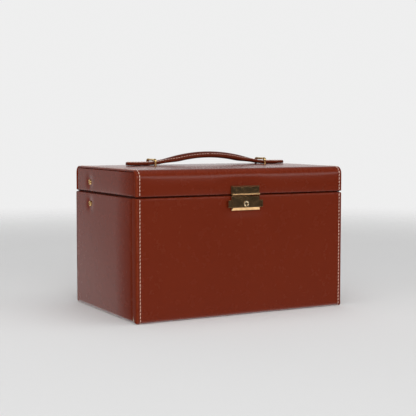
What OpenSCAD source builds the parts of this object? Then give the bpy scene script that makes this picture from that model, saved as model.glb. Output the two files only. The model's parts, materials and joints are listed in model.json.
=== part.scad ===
// Leather jewellery case: hinged padded lid with mirror, automatic tray, hasp lock and strap handle.
// X runs to the right, Y to the back, Z up. The origin is the middle of the underside.

/* [Case] */
// Width of the closed case
case_w = 260; // [216:1:312]
// Depth of the closed case, front leather to back leather
case_d = 172.5; // [143:0.5:207]
// Height of the body up to the parting line
body_h = 132.5; // [110:0.5:160]
// Height of the lid from the parting line to its top edges
lid_h = 29; // [24:0.5:36]
// Gap between body and lid
split_gap = 1.6; // [1:0.1:2.5]
// Radius of the long front and back edges
edge_r = 8; // [4:0.5:10]
// Rise of the padded top over its edges
crown = 1.8; // [0.5:0.1:3]

/* [Leather and boards] */
// Thickness of the leather
leather_t = 1.3; // [0.8:0.1:2]
// Thickness of the body's front board with its padding and leather
front_t = 12.7; // [10:0.1:16]
// Thickness of the padding in the front
front_pad_t = 3; // [2:0.5:4]
// Thickness of the lid's front and back walls with their leather
lid_wall_t = 5.2; // [4.5:0.1:7]
// Thickness of a leather side panel with its padding
panel_t = 3; // [2:0.1:4]
// Thickness of the side boards
board_t = 5; // [4:0.5:7]
// Thickness of the body's back board
back_board_t = 6; // [4:0.5:8]
// Thickness of the base board
base_board_t = 6; // [4:0.5:8]
// Thickness of the lid's top board
top_board_t = 4; // [3:0.5:6]
// Thickness of the padding under the lid's leather at the edges
top_pad_t = 2.7; // [2:0.1:5]
// Thickness of the cover glued under the base
base_cover_t = 1.8; // [1:0.1:3]
// Height by which that cover stands out below the leather
base_proud = 0.5; // [0.3:0.1:1]
// Thickness of the lining
lining_t = 1; // [0.6:0.1:2]
// Height of the leather binding on the rims
rim_t = 1; // [0.6:0.1:1.6]
// Depth of the groove between a lid side panel and the lid's top edge
panel_drop = 2; // [1:0.1:4]

/* [Mirror] */
// Thickness of the glass
mirror_t = 2; // [1.5:0.1:3]
// How far the frame stands out over the glass
frame_lip = 1; // [0.5:0.1:2]
// Width of the frame
frame_w = 5; // [3:0.5:10]
// Distance from the lining to the frame at the sides
frame_side = 12; // [9:0.5:20]
// Distance from the lining to the frame at front and back
frame_end = 6; // [1:0.5:20]

/* [Hinge] */
// Length of the piano hinge
hinge_l = 200; // [150:1:205]
// Number of knuckles
knuckles = 9; // [5:2:13]
// Outer radius of a knuckle
knuckle_r = 1.8; // [1.5:0.1:2.5]
// Radius of the hinge pin
pin_r = 0.8; // [0.6:0.1:1]
// Thickness of a hinge leaf
leaf_t = 0.8; // [0.6:0.1:1]
// Height of a hinge leaf
leaf_h = 14; // [8:0.5:18]

/* [Automatic tray] */
// Distance from the case's back to the rivets
rivet_back = 43.75; // [38:0.25:50]
// Depth of the lid rivets under the lining of the lid's top
rivet_under = 8.5; // [6:0.1:10]
// Depth of the body rivets under the parting line
rivet_down = 13.1; // [12:0.1:14]
// Radius of a rivet's domed head
rivet_head_r = 3.1; // [2.4:0.1:4]
// Rise of a rivet's domed head
rivet_head_h = 1.3; // [0.8:0.1:1.6]
// Radius of a rivet's shank
shank_r = 1.9; // [1.5:0.1:2.2]
// Thickness of the arms and brackets
arm_t = 1.5; // [1:0.1:2]
// Half of an arm's width
arm_r = 4.5; // [4:0.1:6]
// Height of the tray
tray_h = 23; // [18:0.5:28]
// Thickness of the tray's walls and floor
tray_wall = 3; // [2:0.1:4]
// How far the tray stops in front of the rivets
tray_short = 9.5; // [6:0.5:16]
// Thickness of the tray's dividers
tray_div_t = 2.4; // [1.6:0.1:4]
// Number of ring rolls
ring_rolls_n = 6; // [4:1:8]

/* [Lower compartments] */
// Thickness of a divider
divider_t = 4; // [3:0.5:6]
// How far the divider in front of the pillows stands over the tray's underside
rear_over = 5; // [0:1:6]
// Depth from the tray's underside to the front dividers' tops
well_drop = 14; // [8:1:30]
// Place of the cross divider, to the right of the middle
well_x = 20; // [-40:1:40]
// Thickness of the pillow shelf
shelf_t = 4; // [3:0.5:6]
// Number of pillows
pillows_n = 3; // [2:1:4]
// Height of a pillow
pillow_h = 33; // [25:1:40]
// Depth of the pillows' tops under the rim
pillow_drop = 6.5; // [6:0.5:12]

/* [Lock] */
// Width of the lock and of the hasp plate
lock_w = 36; // [30:1:42]
// Height of the lock under the parting line
lock_h = 16; // [15:0.5:18]
// Height of the hasp plate
hasp_h = 10.5; // [9:0.5:12]
// How far lock and hasp stand out from the leather
lock_proud = 3.4; // [3:0.1:4.5]
// Thickness of the lock's cover
cover_t = 0.8; // [0.6:0.1:1]
// Width of the bevel round the cover's face
bevel = 1.4; // [0.8:0.1:2]
// Height of the wide bevel along the lock's lower edge
low_bevel = 3; // [2:0.1:3.4]
// Width of an ear of the sliding bar
ear_w = 2; // [1.5:0.1:3]
// Gap between the right ear and the lock
ear_gap = 1.2; // [0.5:0.1:2]
// Height of the sliding bar
slide_h = 7.6; // [6.8:0.1:8]
// How far the bar slides sideways
slide_travel = 2.2; // [1.5:0.1:2.6]
// Radius of the keyhole escutcheon
key_r = 3.25; // [2.9:0.05:3.4]

/* [Handle] */
// Distance from the middle to a brass loop
loop_x = 72; // [60:1:74]
// Distance from the middle to the tip of a strap end
tip_x = 103; // [98:1:106]
// Radius of the loop's wire
wire_r = 1.2; // [0.8:0.1:1.4]
// Gap between the strap and a loop's crossbar
loop_gap = 1.2; // [0.4:0.1:2]
// Width of the strap
strap_w = 17; // [14:0.5:20]
// Thickness of the strap
strap_t = 3.6; // [3:0.1:4.5]
// Half width of the wide strap ends that cannot pass the loops
tab_r = 10.2; // [9.6:0.1:12]
// Length of a wide strap end
tab_l = 19; // [17:0.5:20]
// Thickness of the padded grip
grip_t = 6.2; // [5:0.1:9]
// Rise of the grip over the strap's ends
grip_rise = 11.3; // [8:0.1:14]
// How far the grip can be lifted
handle_lift = 22; // [15:1:24]
// How far each strap end is drawn in by that
tail_draw = 9; // [6:0.5:9.5]

/* [Hidden] */
$fn = 48;
fit = 0.05;        // radial clearance of pins and shanks
move = 0.3;        // least distance between pieces that pass each other
seam = 0.05;       // gap that keeps the pieces of one sub-part separate

// Outer faces
split_z = body_h;
case_h = body_h + lid_h;
side_x = case_w/2;
front_y = -case_d/2;
back_y = case_d/2;
rim_z = split_z - split_gap/2;         // body rim
lid_z = split_z + split_gap/2;         // lid rim
shut_gap = 0.3;                        // gap between the bindings of body and lid
body_welt_z = split_z - shut_gap/2;    // top of the body's binding
lid_welt_z = split_z + shut_gap/2;     // underside of the lid's binding
foot_z = base_proud;                   // lowest leather

// Faces of the body's boards and of its inside
board_x = side_x - panel_t;            // outer face of the side boards
inner_x = board_x - board_t;           // inner face of the side boards
lined_x = inner_x - lining_t;
front_in_y = front_y + front_t;        // inner face of the front board
back_out_y = back_y - leather_t;       // outer face of the back board
back_in_y = back_out_y - back_board_t;
floor_z = base_cover_t + base_board_t;
board_top_z = rim_z - rim_t;

// Faces of the lid's boards and of its inside
lid_front_y = front_y + lid_wall_t;
lid_back_y = back_y - lid_wall_t;
pad_z = case_h - leather_t - top_pad_t;      // underside of the top padding
top_board_z = pad_z - top_board_t;
backing_z = top_board_z - lining_t;          // underside of the mirror backing
mirror_z = backing_z - mirror_t;
mirror_face_z = mirror_z - frame_lip;        // lowest face of the mirror frame
panel_top_z = case_h - panel_drop;

// Hinge axis, just outside the back leather
hinge_y = back_y + 2 + (knuckle_r - 1.8);
hinge_z = split_z;
knuckle_l = hinge_l/knuckles;

// Linkage: hinge, lid rivet, body rivet and arm pin are the corners of a parallelogram
rivet_y = back_y - rivet_back;
lid_rivet_z = backing_z - rivet_under;
body_rivet_z = split_z - rivet_down;
pin_y = 2*rivet_y - hinge_y;
pin_z = lid_rivet_z + body_rivet_z - hinge_z;
link_m = hinge_y - rivet_y;            // level part of the link from hinge to lid rivet
link_a = lid_rivet_z - hinge_z;        // upright part of that link

// The arm turns next to the lining, the bracket next to the tray
arm_x = lined_x - 3.6;                 // inner face of an arm
bracket_x = arm_x - 1.3 - arm_t;       // inner face of a bracket
tray_x = bracket_x;                    // outer face of the tray's sides

// Tray, which stops short of the mirror when the lid stands upright
tray_top_z = rim_z - 0.7;
tray_z = tray_top_z - tray_h;
tray_gap = 1.9;                        // least distance to the mirror frame with the lid upright
tray_back_y = min(rivet_y - tray_short,
  hinge_y + mirror_face_z - hinge_z - link_m - link_a - tray_gap);
tray_front_y = front_in_y + lining_t + 2.5;
tray_floor_z = tray_z + 2.5;
tray_in_x = tray_x - tray_wall;
tray_in_front = tray_front_y + tray_wall;
tray_in_back = tray_back_y - tray_wall;
tray_mid_y = tray_in_front + (tray_in_back - tray_in_front)*0.5;

// Lower compartments
pillow_gap = 1;
rear_gap = 3.5;                                    // room behind the tray
rear_div_y = tray_back_y + rear_gap;               // front face of the rear divider
shelf_y = rear_div_y + divider_t;
well_top_z = tray_z - well_drop;
lined_front_y = front_in_y + lining_t;
lined_back_y = back_in_y - lining_t;
pad_top_z = floor_z + 2;                           // top of the floor pad
rear_top_z = tray_z + rear_over;
shelf_z = rim_z - pillow_drop - pillow_h - shelf_t;
well_mid_y = (lined_front_y + rear_div_y)/2;

// Lock
plate_t = 0.7;
face_y = front_y - lock_proud;
lock_top_z = rim_z;
lock_z = lock_top_z - lock_h;
slide_z = lock_z + 3.3;
slide_y = face_y + cover_t + 0.25;                 // front face of the bar
slide_t = lock_proud - cover_t - plate_t - 0.5;    // thickness of the bar
ear_play = 0.25;
slide_x0 = -lock_w/2 - slide_travel - ear_play - ear_w;
slide_x1 = lock_w/2 + ear_gap + ear_w;
key_z = slide_z + slide_h/2;
tongue_w = 10;
tongue_t = 1.1;
tongue_y = face_y + cover_t + 0.5;
tongue_z = slide_z + slide_h + 0.7;
hasp_gap = 0.5;                                    // gap between lock and hasp plate
hasp_z = lock_top_z + hasp_gap;

// Handle
lid_top_z = case_h + crown;
strap_z = lid_top_z + move;
strap_top_z = strap_z + strap_t;
loop_y = strap_w/2 + move + 0.4 + wire_r;
loop_z = strap_top_z + loop_gap + wire_r;          // axis of the loop's crossbar
bend_r = 2.4;
grip_x = loop_x - wire_r - 5;
loop_foot_z = backing_z + 0.2;

// --- Helpers ---------------------------------------------------------------

// Box between two corners
module block(x, y, z) {
  translate([x[0], y[0], z[0]]) cube([x[1] - x[0], y[1] - y[0], z[1] - z[0]]);
}

// Outline in Y and Z, drawn out along X
module along_x(x) {
  translate([x[0], 0, 0]) rotate([90, 0, 90]) linear_extrude(x[1] - x[0]) children();
}

// Outline in X and Z, drawn out along Y
module along_y(y) {
  translate([0, y[1], 0]) rotate([90, 0, 0]) linear_extrude(y[1] - y[0]) children();
}

// Round bar along X with its centre at y, z
module bar_x(x, y, z, r) {
  translate([x[0], y, z]) rotate([0, 90, 0]) cylinder(r = r, h = x[1] - x[0]);
}

// Round bar along Y with its centre at x, z
module bar_y(x, y, z, r) {
  translate([x, y[1], z]) rotate([90, 0, 0]) cylinder(r = r, h = y[1] - y[0]);
}

module left_side() { mirror([1, 0, 0]) children(); }
module both_sides() { children(); left_side() children(); }

// Points of an arc in steps of whole segments
function arc(c, r, a0, a1, n = 8) =
  [for (i = [0:n]) let (a = a0 + (a1 - a0)*i/n) [c[0] + r*cos(a), c[1] + r*sin(a)]];

// --- Outlines of the shell -------------------------------------------------

// Body front board's outline: round at the lower front edge, set back by inset
function front_outline(inset) =
  let (y = front_y + inset, z = foot_z + inset, r = edge_r - inset, top = rim_z - inset)
  concat([[front_in_y, top], [y, top]], arc([y + r, z + r], r, 180, 270), [[front_in_y, z]]);

// Lid's outline: round top edges and a crowned top, set in by inset
crown_half = case_d/2 - edge_r;
crown_r = (crown_half*crown_half + crown*crown)/(2*crown);
function crown_z(y) = case_h + crown - crown_r + sqrt(crown_r*crown_r - y*y);
function lid_outline(inset) =
  let (f = front_y + inset, b = back_y - inset, r = edge_r - inset, t = case_h - inset)
  concat(
    [[b, lid_z], [b, t - r]],
    arc([b - r, t - r], r, 0, 90),
    [for (i = [1:15]) let (y = crown_half*(1 - i/8)) [y, crown_z(y) - inset]],
    arc([f + r, t - r], r, 90, 180),
    [[f, lid_z]]);

// --- Body ------------------------------------------------------------------

module base_cover() {
  color("#3a2019") block([-board_x, board_x], [front_in_y, back_out_y], [0, base_cover_t]);
}

module base_board() {
  color("tan") block([-inner_x, inner_x], [front_in_y, back_in_y], [base_cover_t, floor_z]);
}

module front_board() {
  color("tan") intersection() {
    along_x([-side_x + leather_t, side_x - leather_t]) polygon(front_outline(leather_t));
    block([-side_x, side_x], [front_y + leather_t + front_pad_t, front_in_y], [0, split_z]);
  }
}

module front_padding() {
  color("lightyellow") intersection() {
    along_x([-side_x + leather_t, side_x - leather_t]) polygon(front_outline(leather_t));
    block([-side_x, side_x], [front_y, front_y + leather_t + front_pad_t], [0, split_z]);
  }
}

module front_leather() {
  color("#6c2a14") difference() {
    along_x([-side_x, side_x]) polygon(front_outline(0));
    along_x([-side_x + leather_t, side_x - leather_t]) polygon(concat(front_outline(leather_t),
      [[front_in_y + 1, foot_z + leather_t], [front_in_y + 1, rim_z - leather_t]]));
  }
}

module back_board() {
  color("tan") block([-board_x, board_x], [back_in_y, back_out_y], [base_cover_t, board_top_z]);
}

module back_leather() {
  color("#6c2a14") block([-side_x, side_x], [back_out_y, back_y], [foot_z, rim_z]);
}

module shank_hole(z) {
  bar_x([inner_x - 1, side_x + 1], rivet_y, z, shank_r + fit);
}

module right_board() {
  color("tan") difference() {
    block([inner_x, board_x], [front_in_y, back_in_y], [base_cover_t, board_top_z]);
    shank_hole(body_rivet_z);
  }
}

module left_board() { left_side() right_board(); }

module right_panel() {
  color("#71443e") difference() {
    block([board_x, side_x], [front_in_y, back_out_y], [foot_z, rim_z]);
    shank_hole(body_rivet_z);
  }
}

module left_panel() { left_side() right_panel(); }

module rim_binding() {
  edge_in = 2;
  color("#5a2413") {
    both_sides() block([inner_x, board_x], [front_in_y, back_in_y - seam], [board_top_z, body_welt_z]);
    block([-board_x, board_x], [back_in_y, back_out_y], [board_top_z, body_welt_z]);
    block([-board_x, board_x], [front_y + edge_in, front_in_y - seam], [rim_z, body_welt_z]);
  }
}

module body_lining() {
  color("#cdb89a") {
    both_sides() difference() {
      block([lined_x, inner_x], [front_in_y, back_in_y], [floor_z, rim_z]);
      bar_x([lined_x - 1, inner_x + 1], rivet_y, body_rivet_z, shank_r + fit);
    }
    x = [-lined_x + seam, lined_x - seam];
    block(x, [front_in_y, lined_front_y], [floor_z, rim_z]);
    block(x, [lined_back_y, back_in_y], [floor_z, rim_z]);
  }
}

module floor_pad() {
  color("#cdb89a") block([-lined_x, lined_x], [lined_front_y, lined_back_y], [floor_z, pad_top_z]);
}

module rear_divider() {
  color("#c4ae8e") block([-lined_x, lined_x], [rear_div_y, shelf_y], [pad_top_z, rear_top_z]);
}

// A cross divider between front and back, and a short one on its right
module well_dividers() {
  color("#c4ae8e") {
    block([well_x, well_x + divider_t], [lined_front_y, rear_div_y], [pad_top_z, well_top_z]);
    block([well_x + divider_t + seam, lined_x], [well_mid_y, well_mid_y + divider_t],
      [pad_top_z, well_top_z]);
  }
}

module pillow_shelf() {
  color("#c4ae8e") block([-lined_x, lined_x], [shelf_y, lined_back_y], [shelf_z, shelf_z + shelf_t]);
}

module pillows() {
  room = 2*(arm_x - 1.5);
  pitch = room/pillows_n;
  depth = lined_back_y - shelf_y - 2*pillow_gap;
  r = min(depth, pillow_h)/4;
  color("#d8c5a6") for (i = [0:pillows_n - 1])
    translate([-room/2 + pillow_gap/2 + i*pitch, shelf_y + pillow_gap, shelf_z + shelf_t])
      rotate([90, 0, 90]) linear_extrude(pitch - pillow_gap)
        polygon(concat(
          arc([r, r], r, 180, 270, 5), arc([depth - r, r], r, 270, 360, 5),
          arc([depth - r, pillow_h - r], r, 0, 90, 5), arc([r, pillow_h - r], r, 90, 180, 5)));
}

// --- Hinge -----------------------------------------------------------------

// A leaf on the back and the knuckles from first on, every second one
module hinge_leaf(first, up) {
  s = up ? 1 : -1;
  clear = knuckle_r + 0.35;
  near = hinge_z + s*clear;
  far = hinge_z + s*leaf_h;
  y = [back_y, back_y + leaf_t];
  difference() {
    union() {
      block([-hinge_l/2, hinge_l/2], y, [min(near, far), max(near, far)]);
      for (i = [first:2:knuckles - 1]) {
        x0 = -hinge_l/2 + i*knuckle_l + 0.15;
        x1 = x0 + knuckle_l - 0.3;
        block([x0, x1], [back_y + 0.2, back_y + leaf_t], [min(hinge_z, near), max(hinge_z, near)]);
        bar_x([x0, x1], hinge_y, hinge_z, knuckle_r);
      }
    }
    bar_x([-hinge_l/2 - 1, hinge_l/2 + 1], hinge_y, hinge_z, pin_r + fit);
  }
}

module body_hinge_leaf() { color("#7a6a45") hinge_leaf(0, false); }

module lid_hinge_leaf() { color("#7a6a45") hinge_leaf(1, true); }

module hinge_pin() {
  color("#8a7a50") bar_x([-hinge_l/2, hinge_l/2], hinge_y, hinge_z, pin_r);
}

// --- Lock ------------------------------------------------------------------

module lock_back_plate() {
  color("#50462d") difference() {
    block([-lock_w/2, lock_w/2], [front_y - plate_t, front_y], [lock_z, lock_top_z]);
    nail_places() bar_y(0, [front_y - 2, front_y + 1], 0, nail_r + fit);
  }
  color("#50462d") block([spring_room[1] - post_w - seam, spring_room[1] - seam],
    [front_y - plate_t - 1.6, front_y - plate_t], [key_z - 0.9, key_z + 0.9]);
}

nail_r = 0.6;
module nail_places() {
  for (x = [-1, 1]) translate([x*(lock_w/2 - 3), 0, lock_z + 1.6]) children();
}

// Cover: its face is drawn in by a bevel on all four sides
module cover_body() {
  hull() {
    block([-lock_w/2, lock_w/2], [face_y + bevel, front_y - plate_t], [lock_z, lock_top_z]);
    block([-lock_w/2 + bevel, lock_w/2 - bevel], [face_y, front_y - plate_t],
      [lock_z + low_bevel, lock_top_z - bevel/2]);
  }
}

module keyhole(y) {
  bar_y(0, y, key_z, 1.5);
  block([-0.7, 0.7], y, [key_z - 2.9, key_z]);
}

module lock_cover() {
  slack = 0.25;
  color("#50462d") difference() {
    cover_body();
    block([-lock_w/2 + 1.6, lock_w/2 - 1.6], [face_y + cover_t, front_y - plate_t + 1],
      [lock_z + 2.9, slide_z + slide_h + slack]);
    block([-lock_w/2 - 1, lock_w/2 + 1], [slide_y - slack, slide_y + slide_t + slack],
      [slide_z - slack, slide_z + slide_h + slack]);
    block([-tongue_w/2 - 1, tongue_w/2 + 1], [tongue_y - 0.5, tongue_y + tongue_t + 0.5],
      [slide_z + slide_h, lock_top_z + 1]);
    keyhole([face_y - 1, face_y + cover_t + 1]);
  }
}

module key_escutcheon() {
  color("#e8c890") difference() {
    bar_y(0, [face_y - 0.5, face_y], key_z, key_r);
    keyhole([face_y - 1, face_y + 1]);
  }
}

module key_post() {
  color("#2a2416") bar_y(0, [face_y + 0.3, front_y - plate_t], key_z, 0.6);
}

// Bar with an ear at each end and a window round the key post
module slide_bar() {
  window = 2.4;
  reach = 1.2 + slide_travel;
  color("#6b5c38") difference() {
    union() {
      block([slide_x0, slide_x1], [slide_y, slide_y + slide_t], [slide_z, slide_z + slide_h]);
      for (x = [slide_x0, slide_x1 - ear_w])
        block([x, x + ear_w], [slide_y - 0.9, slide_y + slide_t], [slide_z, slide_z + slide_h]);
    }
    block([-reach - 1, reach], [slide_y - 1, slide_y + slide_t + 1], [key_z - window, key_z + window]);
    block(spring_room, [slide_y - 1, slide_y + slide_t + 1], [key_z - spring_half, key_z + spring_half]);
  }
}

// Wire spring in the bar's second window, between the window's left end and the spring post
spring_room = [lock_w/2 - 10, lock_w/2 - 3];
spring_half = 1.1;
post_w = 1;
module lock_spring() {
  wire = 0.2;
  coil = 0.66;
  turns = 6;
  steps = 12;
  sides = 6;
  x0 = spring_room[0] + wire + seam;
  x1 = spring_room[1] - post_w - 2*seam - 2*wire;
  y = front_y - plate_t - coil - wire - seam;
  n = turns*steps;
  rings = [for (i = [0:n]) let (a = 360*i/steps, x = x0 + (x1 - x0)*i/n)
    [for (k = [0:sides - 1]) let (b = 360*k/sides, r = coil + wire*cos(b))
      [x + wire*sin(b), y + r*cos(a), key_z + r*sin(a)]]];
  walls = [for (i = [0:n - 1], k = [0:sides - 1]) let (m = (k + 1)%sides)
    [i*sides + k, i*sides + m, (i + 1)*sides + m, (i + 1)*sides + k]];
  ends = [[for (k = [sides - 1:-1:0]) k], [for (k = [0:sides - 1]) n*sides + k]];
  color("silver") polyhedron([for (ring = rings, q = ring) q], concat(walls, ends));
}

module lock_nails() {
  color("#8a7a50") nail_places() bar_y(0, [front_y - plate_t, front_y + 5], 0, nail_r);
}

// --- Linkage ---------------------------------------------------------------

// Rivet along X: domed head outside, shank, flat head at the inner end
module rivet(z, x_in, head) {
  dome_r = (rivet_head_r*rivet_head_r + rivet_head_h*rivet_head_h)/(2*rivet_head_h);
  a = asin(rivet_head_r/dome_r);
  translate([side_x, rivet_y, z]) rotate([0, 90, 0]) union() {
    rotate_extrude() polygon(concat([[0, 0]], [for (p = arc([0, rivet_head_h - dome_r], dome_r, 90 - a, 90, 6))
      [max(p[0], 0), max(p[1], 0)]]));
    translate([0, 0, x_in - side_x]) cylinder(r = shank_r, h = side_x - x_in);
    translate([0, 0, x_in - side_x - head]) cylinder(r = shank_r + 1.2, h = head);
  }
}

module arm_rivets() {
  color("#c9a766") both_sides() rivet(body_rivet_z, arm_x - fit, 0.8);
}

module bracket_rivets() {
  color("#c9a766") both_sides() rivet(lid_rivet_z, bracket_x - fit, 0.8);
}

// Outline of a bar with round ends about two points
function link(p, q, r) =
  let (a = atan2(q[1] - p[1], q[0] - p[0]))
  concat(arc(q, r, a - 90, a + 90), arc(p, r, a + 90, a + 270));

module right_arm() {
  x = [arm_x, arm_x + arm_t];
  hole = [arm_x - 1, arm_x + arm_t + 1];
  color("silver") difference() {
    along_x(x) polygon(link([rivet_y, body_rivet_z], [pin_y, pin_z], arm_r));
    bar_x(hole, rivet_y, body_rivet_z, shank_r + fit);
    bar_x(hole, pin_y, pin_z, shank_r + move);
  }
}

module left_arm() { left_side() right_arm(); }

module right_bracket() {
  x = [bracket_x, bracket_x + arm_t];
  hole = [bracket_x - 1, bracket_x + arm_t + 1];
  foot = [pin_y - 3, min(rivet_y - 6, tray_back_y - 1)];
  foot_up = tray_z + 6;
  color("silver") difference() {
    along_x(x) {
      polygon(link([rivet_y, lid_rivet_z], [pin_y, pin_z], arm_r));
      polygon([[rivet_y, lid_rivet_z], [foot[0], pin_z], [foot[0], foot_up], [foot[1], foot_up]]);
    }
    bar_x(hole, rivet_y, lid_rivet_z, shank_r + fit);
    bar_x(hole, pin_y, pin_z, shank_r + fit);
  }
}

module left_bracket() { left_side() right_bracket(); }

// Pins that join arms and brackets, with a flat head outside the arm
module arm_pins() {
  head = arm_x + arm_t + move;
  color("#c9a766") both_sides() union() {
    bar_x([bracket_x, head], pin_y, pin_z, shank_r);
    bar_x([head, head + 0.8], pin_y, pin_z, shank_r + 1.2);
  }
}

// --- Tray ------------------------------------------------------------------

module tray_floor() {
  color("#7a4a38") block([-tray_in_x, tray_in_x], [tray_in_front, tray_in_back], [tray_z, tray_floor_z]);
}

module tray_walls() {
  color("#6c2a14") {
    block([-tray_x, tray_x], [tray_front_y, tray_in_front], [tray_z, tray_top_z]);
    block([-tray_x, tray_x], [tray_in_back, tray_back_y], [tray_z, tray_top_z]);
    both_sides() block([tray_in_x, tray_x], [tray_in_front + seam, tray_in_back - seam],
      [tray_z, tray_top_z]);
  }
}

tray_div_z = tray_top_z - 3;
cell_w = (2*tray_in_x - 2*tray_div_t)/3;
module tray_dividers() {
  y = [tray_mid_y, tray_mid_y + tray_div_t];
  z = [tray_floor_z, tray_div_z];
  color("#c4ae8e") {
    block([-tray_in_x, tray_in_x], y, z);
    for (s = [-1, 1]) {
      x0 = s*(cell_w + tray_div_t)/2 - tray_div_t/2;
      block([x0, x0 + tray_div_t], [tray_in_front, y[0] - seam], z);
    }
    block([-tray_div_t/2, tray_div_t/2], [y[1] + seam, tray_in_back], z);
  }
}

// Rolls with round tops, side by side in the tray's back left compartment
module ring_rolls() {
  y0 = tray_mid_y + tray_div_t + 0.2;
  pitch = (tray_in_back - 0.2 - y0)/ring_rolls_n;
  r = pitch/2 - 0.1;
  top = tray_div_z - 0.5;
  color("#d8c5a6") for (i = [0:ring_rolls_n - 1]) {
    y = y0 + (i + 0.5)*pitch;
    along_x([-tray_in_x + 0.3, -tray_div_t/2 - 0.3])
      polygon(concat(arc([y, top - r], r, 0, 180, 10), [[y - r, tray_floor_z], [y + r, tray_floor_z]]));
  }
}

// --- Lid -------------------------------------------------------------------

// Part of the lid's board outline between two depths and two heights
module lid_slice(x, y, z) {
  intersection() {
    along_x(x) polygon(lid_outline(leather_t));
    block(x, y, z);
  }
}

module lid_top_board() {
  color("tan") difference() {
    block([-board_x, board_x], [lid_front_y, lid_back_y], [top_board_z, pad_z]);
    leg_holes(0.1);
  }
}

module lid_front_board() {
  color("tan") lid_slice([-board_x, board_x], [front_y, lid_front_y], [lid_z + rim_t, case_h]);
}

module lid_back_board() {
  color("tan") lid_slice([-board_x, board_x], [lid_back_y, back_y], [lid_z + rim_t, case_h]);
}

module lid_side_boards() {
  color("tan") both_sides() difference() {
    block([inner_x, board_x], [lid_front_y, lid_back_y], [lid_z + rim_t, top_board_z]);
    shank_hole(lid_rivet_z);
  }
}

module lid_padding() {
  color("lightyellow") difference() {
    lid_slice([-board_x, board_x], [lid_front_y, lid_back_y], [pad_z, case_h + crown]);
    leg_holes(0.1);
  }
}

module lid_leather() {
  color("#6c2a14") difference() {
    along_x([-side_x, side_x]) polygon(lid_outline(0));
    along_x([-board_x, board_x]) polygon(concat([[back_y - leather_t, lid_z - 1]],
      lid_outline(leather_t), [[front_y + leather_t, lid_z - 1]]));
    both_sides() block([board_x - 1, side_x + 1], [lid_front_y, lid_back_y], [lid_z - 1, panel_top_z]);
    leg_holes(0.1);
  }
}

module lid_right_panel() {
  color("#71443e") difference() {
    block([board_x, side_x], [lid_front_y, lid_back_y], [lid_z, panel_top_z]);
    shank_hole(lid_rivet_z);
  }
}

module lid_left_panel() { left_side() lid_right_panel(); }

module lid_rim_binding() {
  z = [lid_welt_z, lid_z + rim_t];
  color("#5a2413") {
    both_sides() block([inner_x, board_x], [lid_front_y + seam, lid_back_y - seam], z);
    block([-board_x, board_x], [front_y + leather_t, lid_front_y], z);
    block([-board_x, board_x], [lid_back_y, back_y - leather_t], z);
  }
}

module lid_lining() {
  z = [lid_z, top_board_z];
  color("#cdb89a") {
    both_sides() difference() {
      block([lined_x, inner_x], [lid_front_y, lid_back_y], z);
      bar_x([lined_x - 1, inner_x + 1], rivet_y, lid_rivet_z, shank_r + fit);
    }
    x = [-lined_x + seam, lined_x - seam];
    block(x, [lid_front_y, lid_front_y + lining_t], z);
    block(x, [lid_back_y - lining_t, lid_back_y], z);
  }
}

lid_lined = [lid_front_y + lining_t, lid_back_y - lining_t];
module mirror_backing() {
  color("#cdb89a") difference() {
    block([-lined_x, lined_x], lid_lined, [backing_z, top_board_z]);
    for (x = [-1, 1]) block([x*loop_x - 6, x*loop_x + 6], [-16, 16], [backing_z - 1, top_board_z + 1]);
  }
}

// The mirror lies inside its frame, whose strips meet at mitred corners
mirror_x = lined_x - frame_side;
mirror_y = [lid_lined[0] + frame_end, lid_lined[1] - frame_end];

module mirror_glass() {
  color("#c8d2d8") block([-mirror_x + frame_w, mirror_x - frame_w],
    [mirror_y[0] + frame_w, mirror_y[1] - frame_w], [mirror_z, backing_z]);
}

module mirror_frame() {
  z = mirror_face_z;
  h = backing_z - mirror_face_z;
  w = frame_w;
  m = (mirror_y[0] + mirror_y[1])/2;
  hy = (mirror_y[1] - mirror_y[0])/2;
  color("#5a2413") translate([0, m, z]) {
    for (s = [-1, 1]) {
      linear_extrude(h) polygon([[-mirror_x + seam, s*hy], [mirror_x - seam, s*hy],
        [mirror_x - w - seam, s*(hy - w)], [-mirror_x + w + seam, s*(hy - w)]]);
      linear_extrude(h) polygon([[s*mirror_x, -hy], [s*mirror_x, hy],
        [s*(mirror_x - w), hy - w], [s*(mirror_x - w), -hy + w]]);
    }
  }
}

// --- Hasp ------------------------------------------------------------------

module hasp_plate() {
  bead_r = 1.1;
  bead_out = 0.4;
  bead_in = 0.6;
  nail_in = 4;
  z = [hasp_z, hasp_z + hasp_h];
  y1 = front_y - lock_proud + 0.5;
  color("#50462d") {
    hull() {
      block([-lock_w/2, lock_w/2], [front_y - 1, front_y], z);
      block([-lock_w/2 + bevel, lock_w/2 - bevel], [y1, front_y], [z[0], z[1] - bevel]);
    }
    bar_x([-lock_w/2 + bead_in, lock_w/2 - bead_in], y1 + bead_r - bead_out, hasp_z + bead_r + seam, bead_r);
    for (x = [-1, 1]) bar_y(x*(lock_w/2 - nail_in), [front_y - 0.5, front_y + nail_in],
      hasp_z + hasp_h/2, nail_r);
  }
}

module hasp_tongue() {
  color("#8a7a50") difference() {
    block([-tongue_w/2, tongue_w/2], [tongue_y, tongue_y + tongue_t], [tongue_z, hasp_z]);
    block([-tongue_w/2 + 2.5, tongue_w/2 - 2.5], [tongue_y - 1, tongue_y + tongue_t + 1],
      [tongue_z + 1.2, tongue_z + 2.6]);
  }
}

// --- Handle ----------------------------------------------------------------

module leg_holes(slack) {
  for (x = [-loop_x, loop_x], y = [-loop_y, loop_y])
    translate([x, y, top_board_z - 1]) cylinder(r = wire_r + slack, h = lid_top_z - top_board_z + 3);
}

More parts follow.
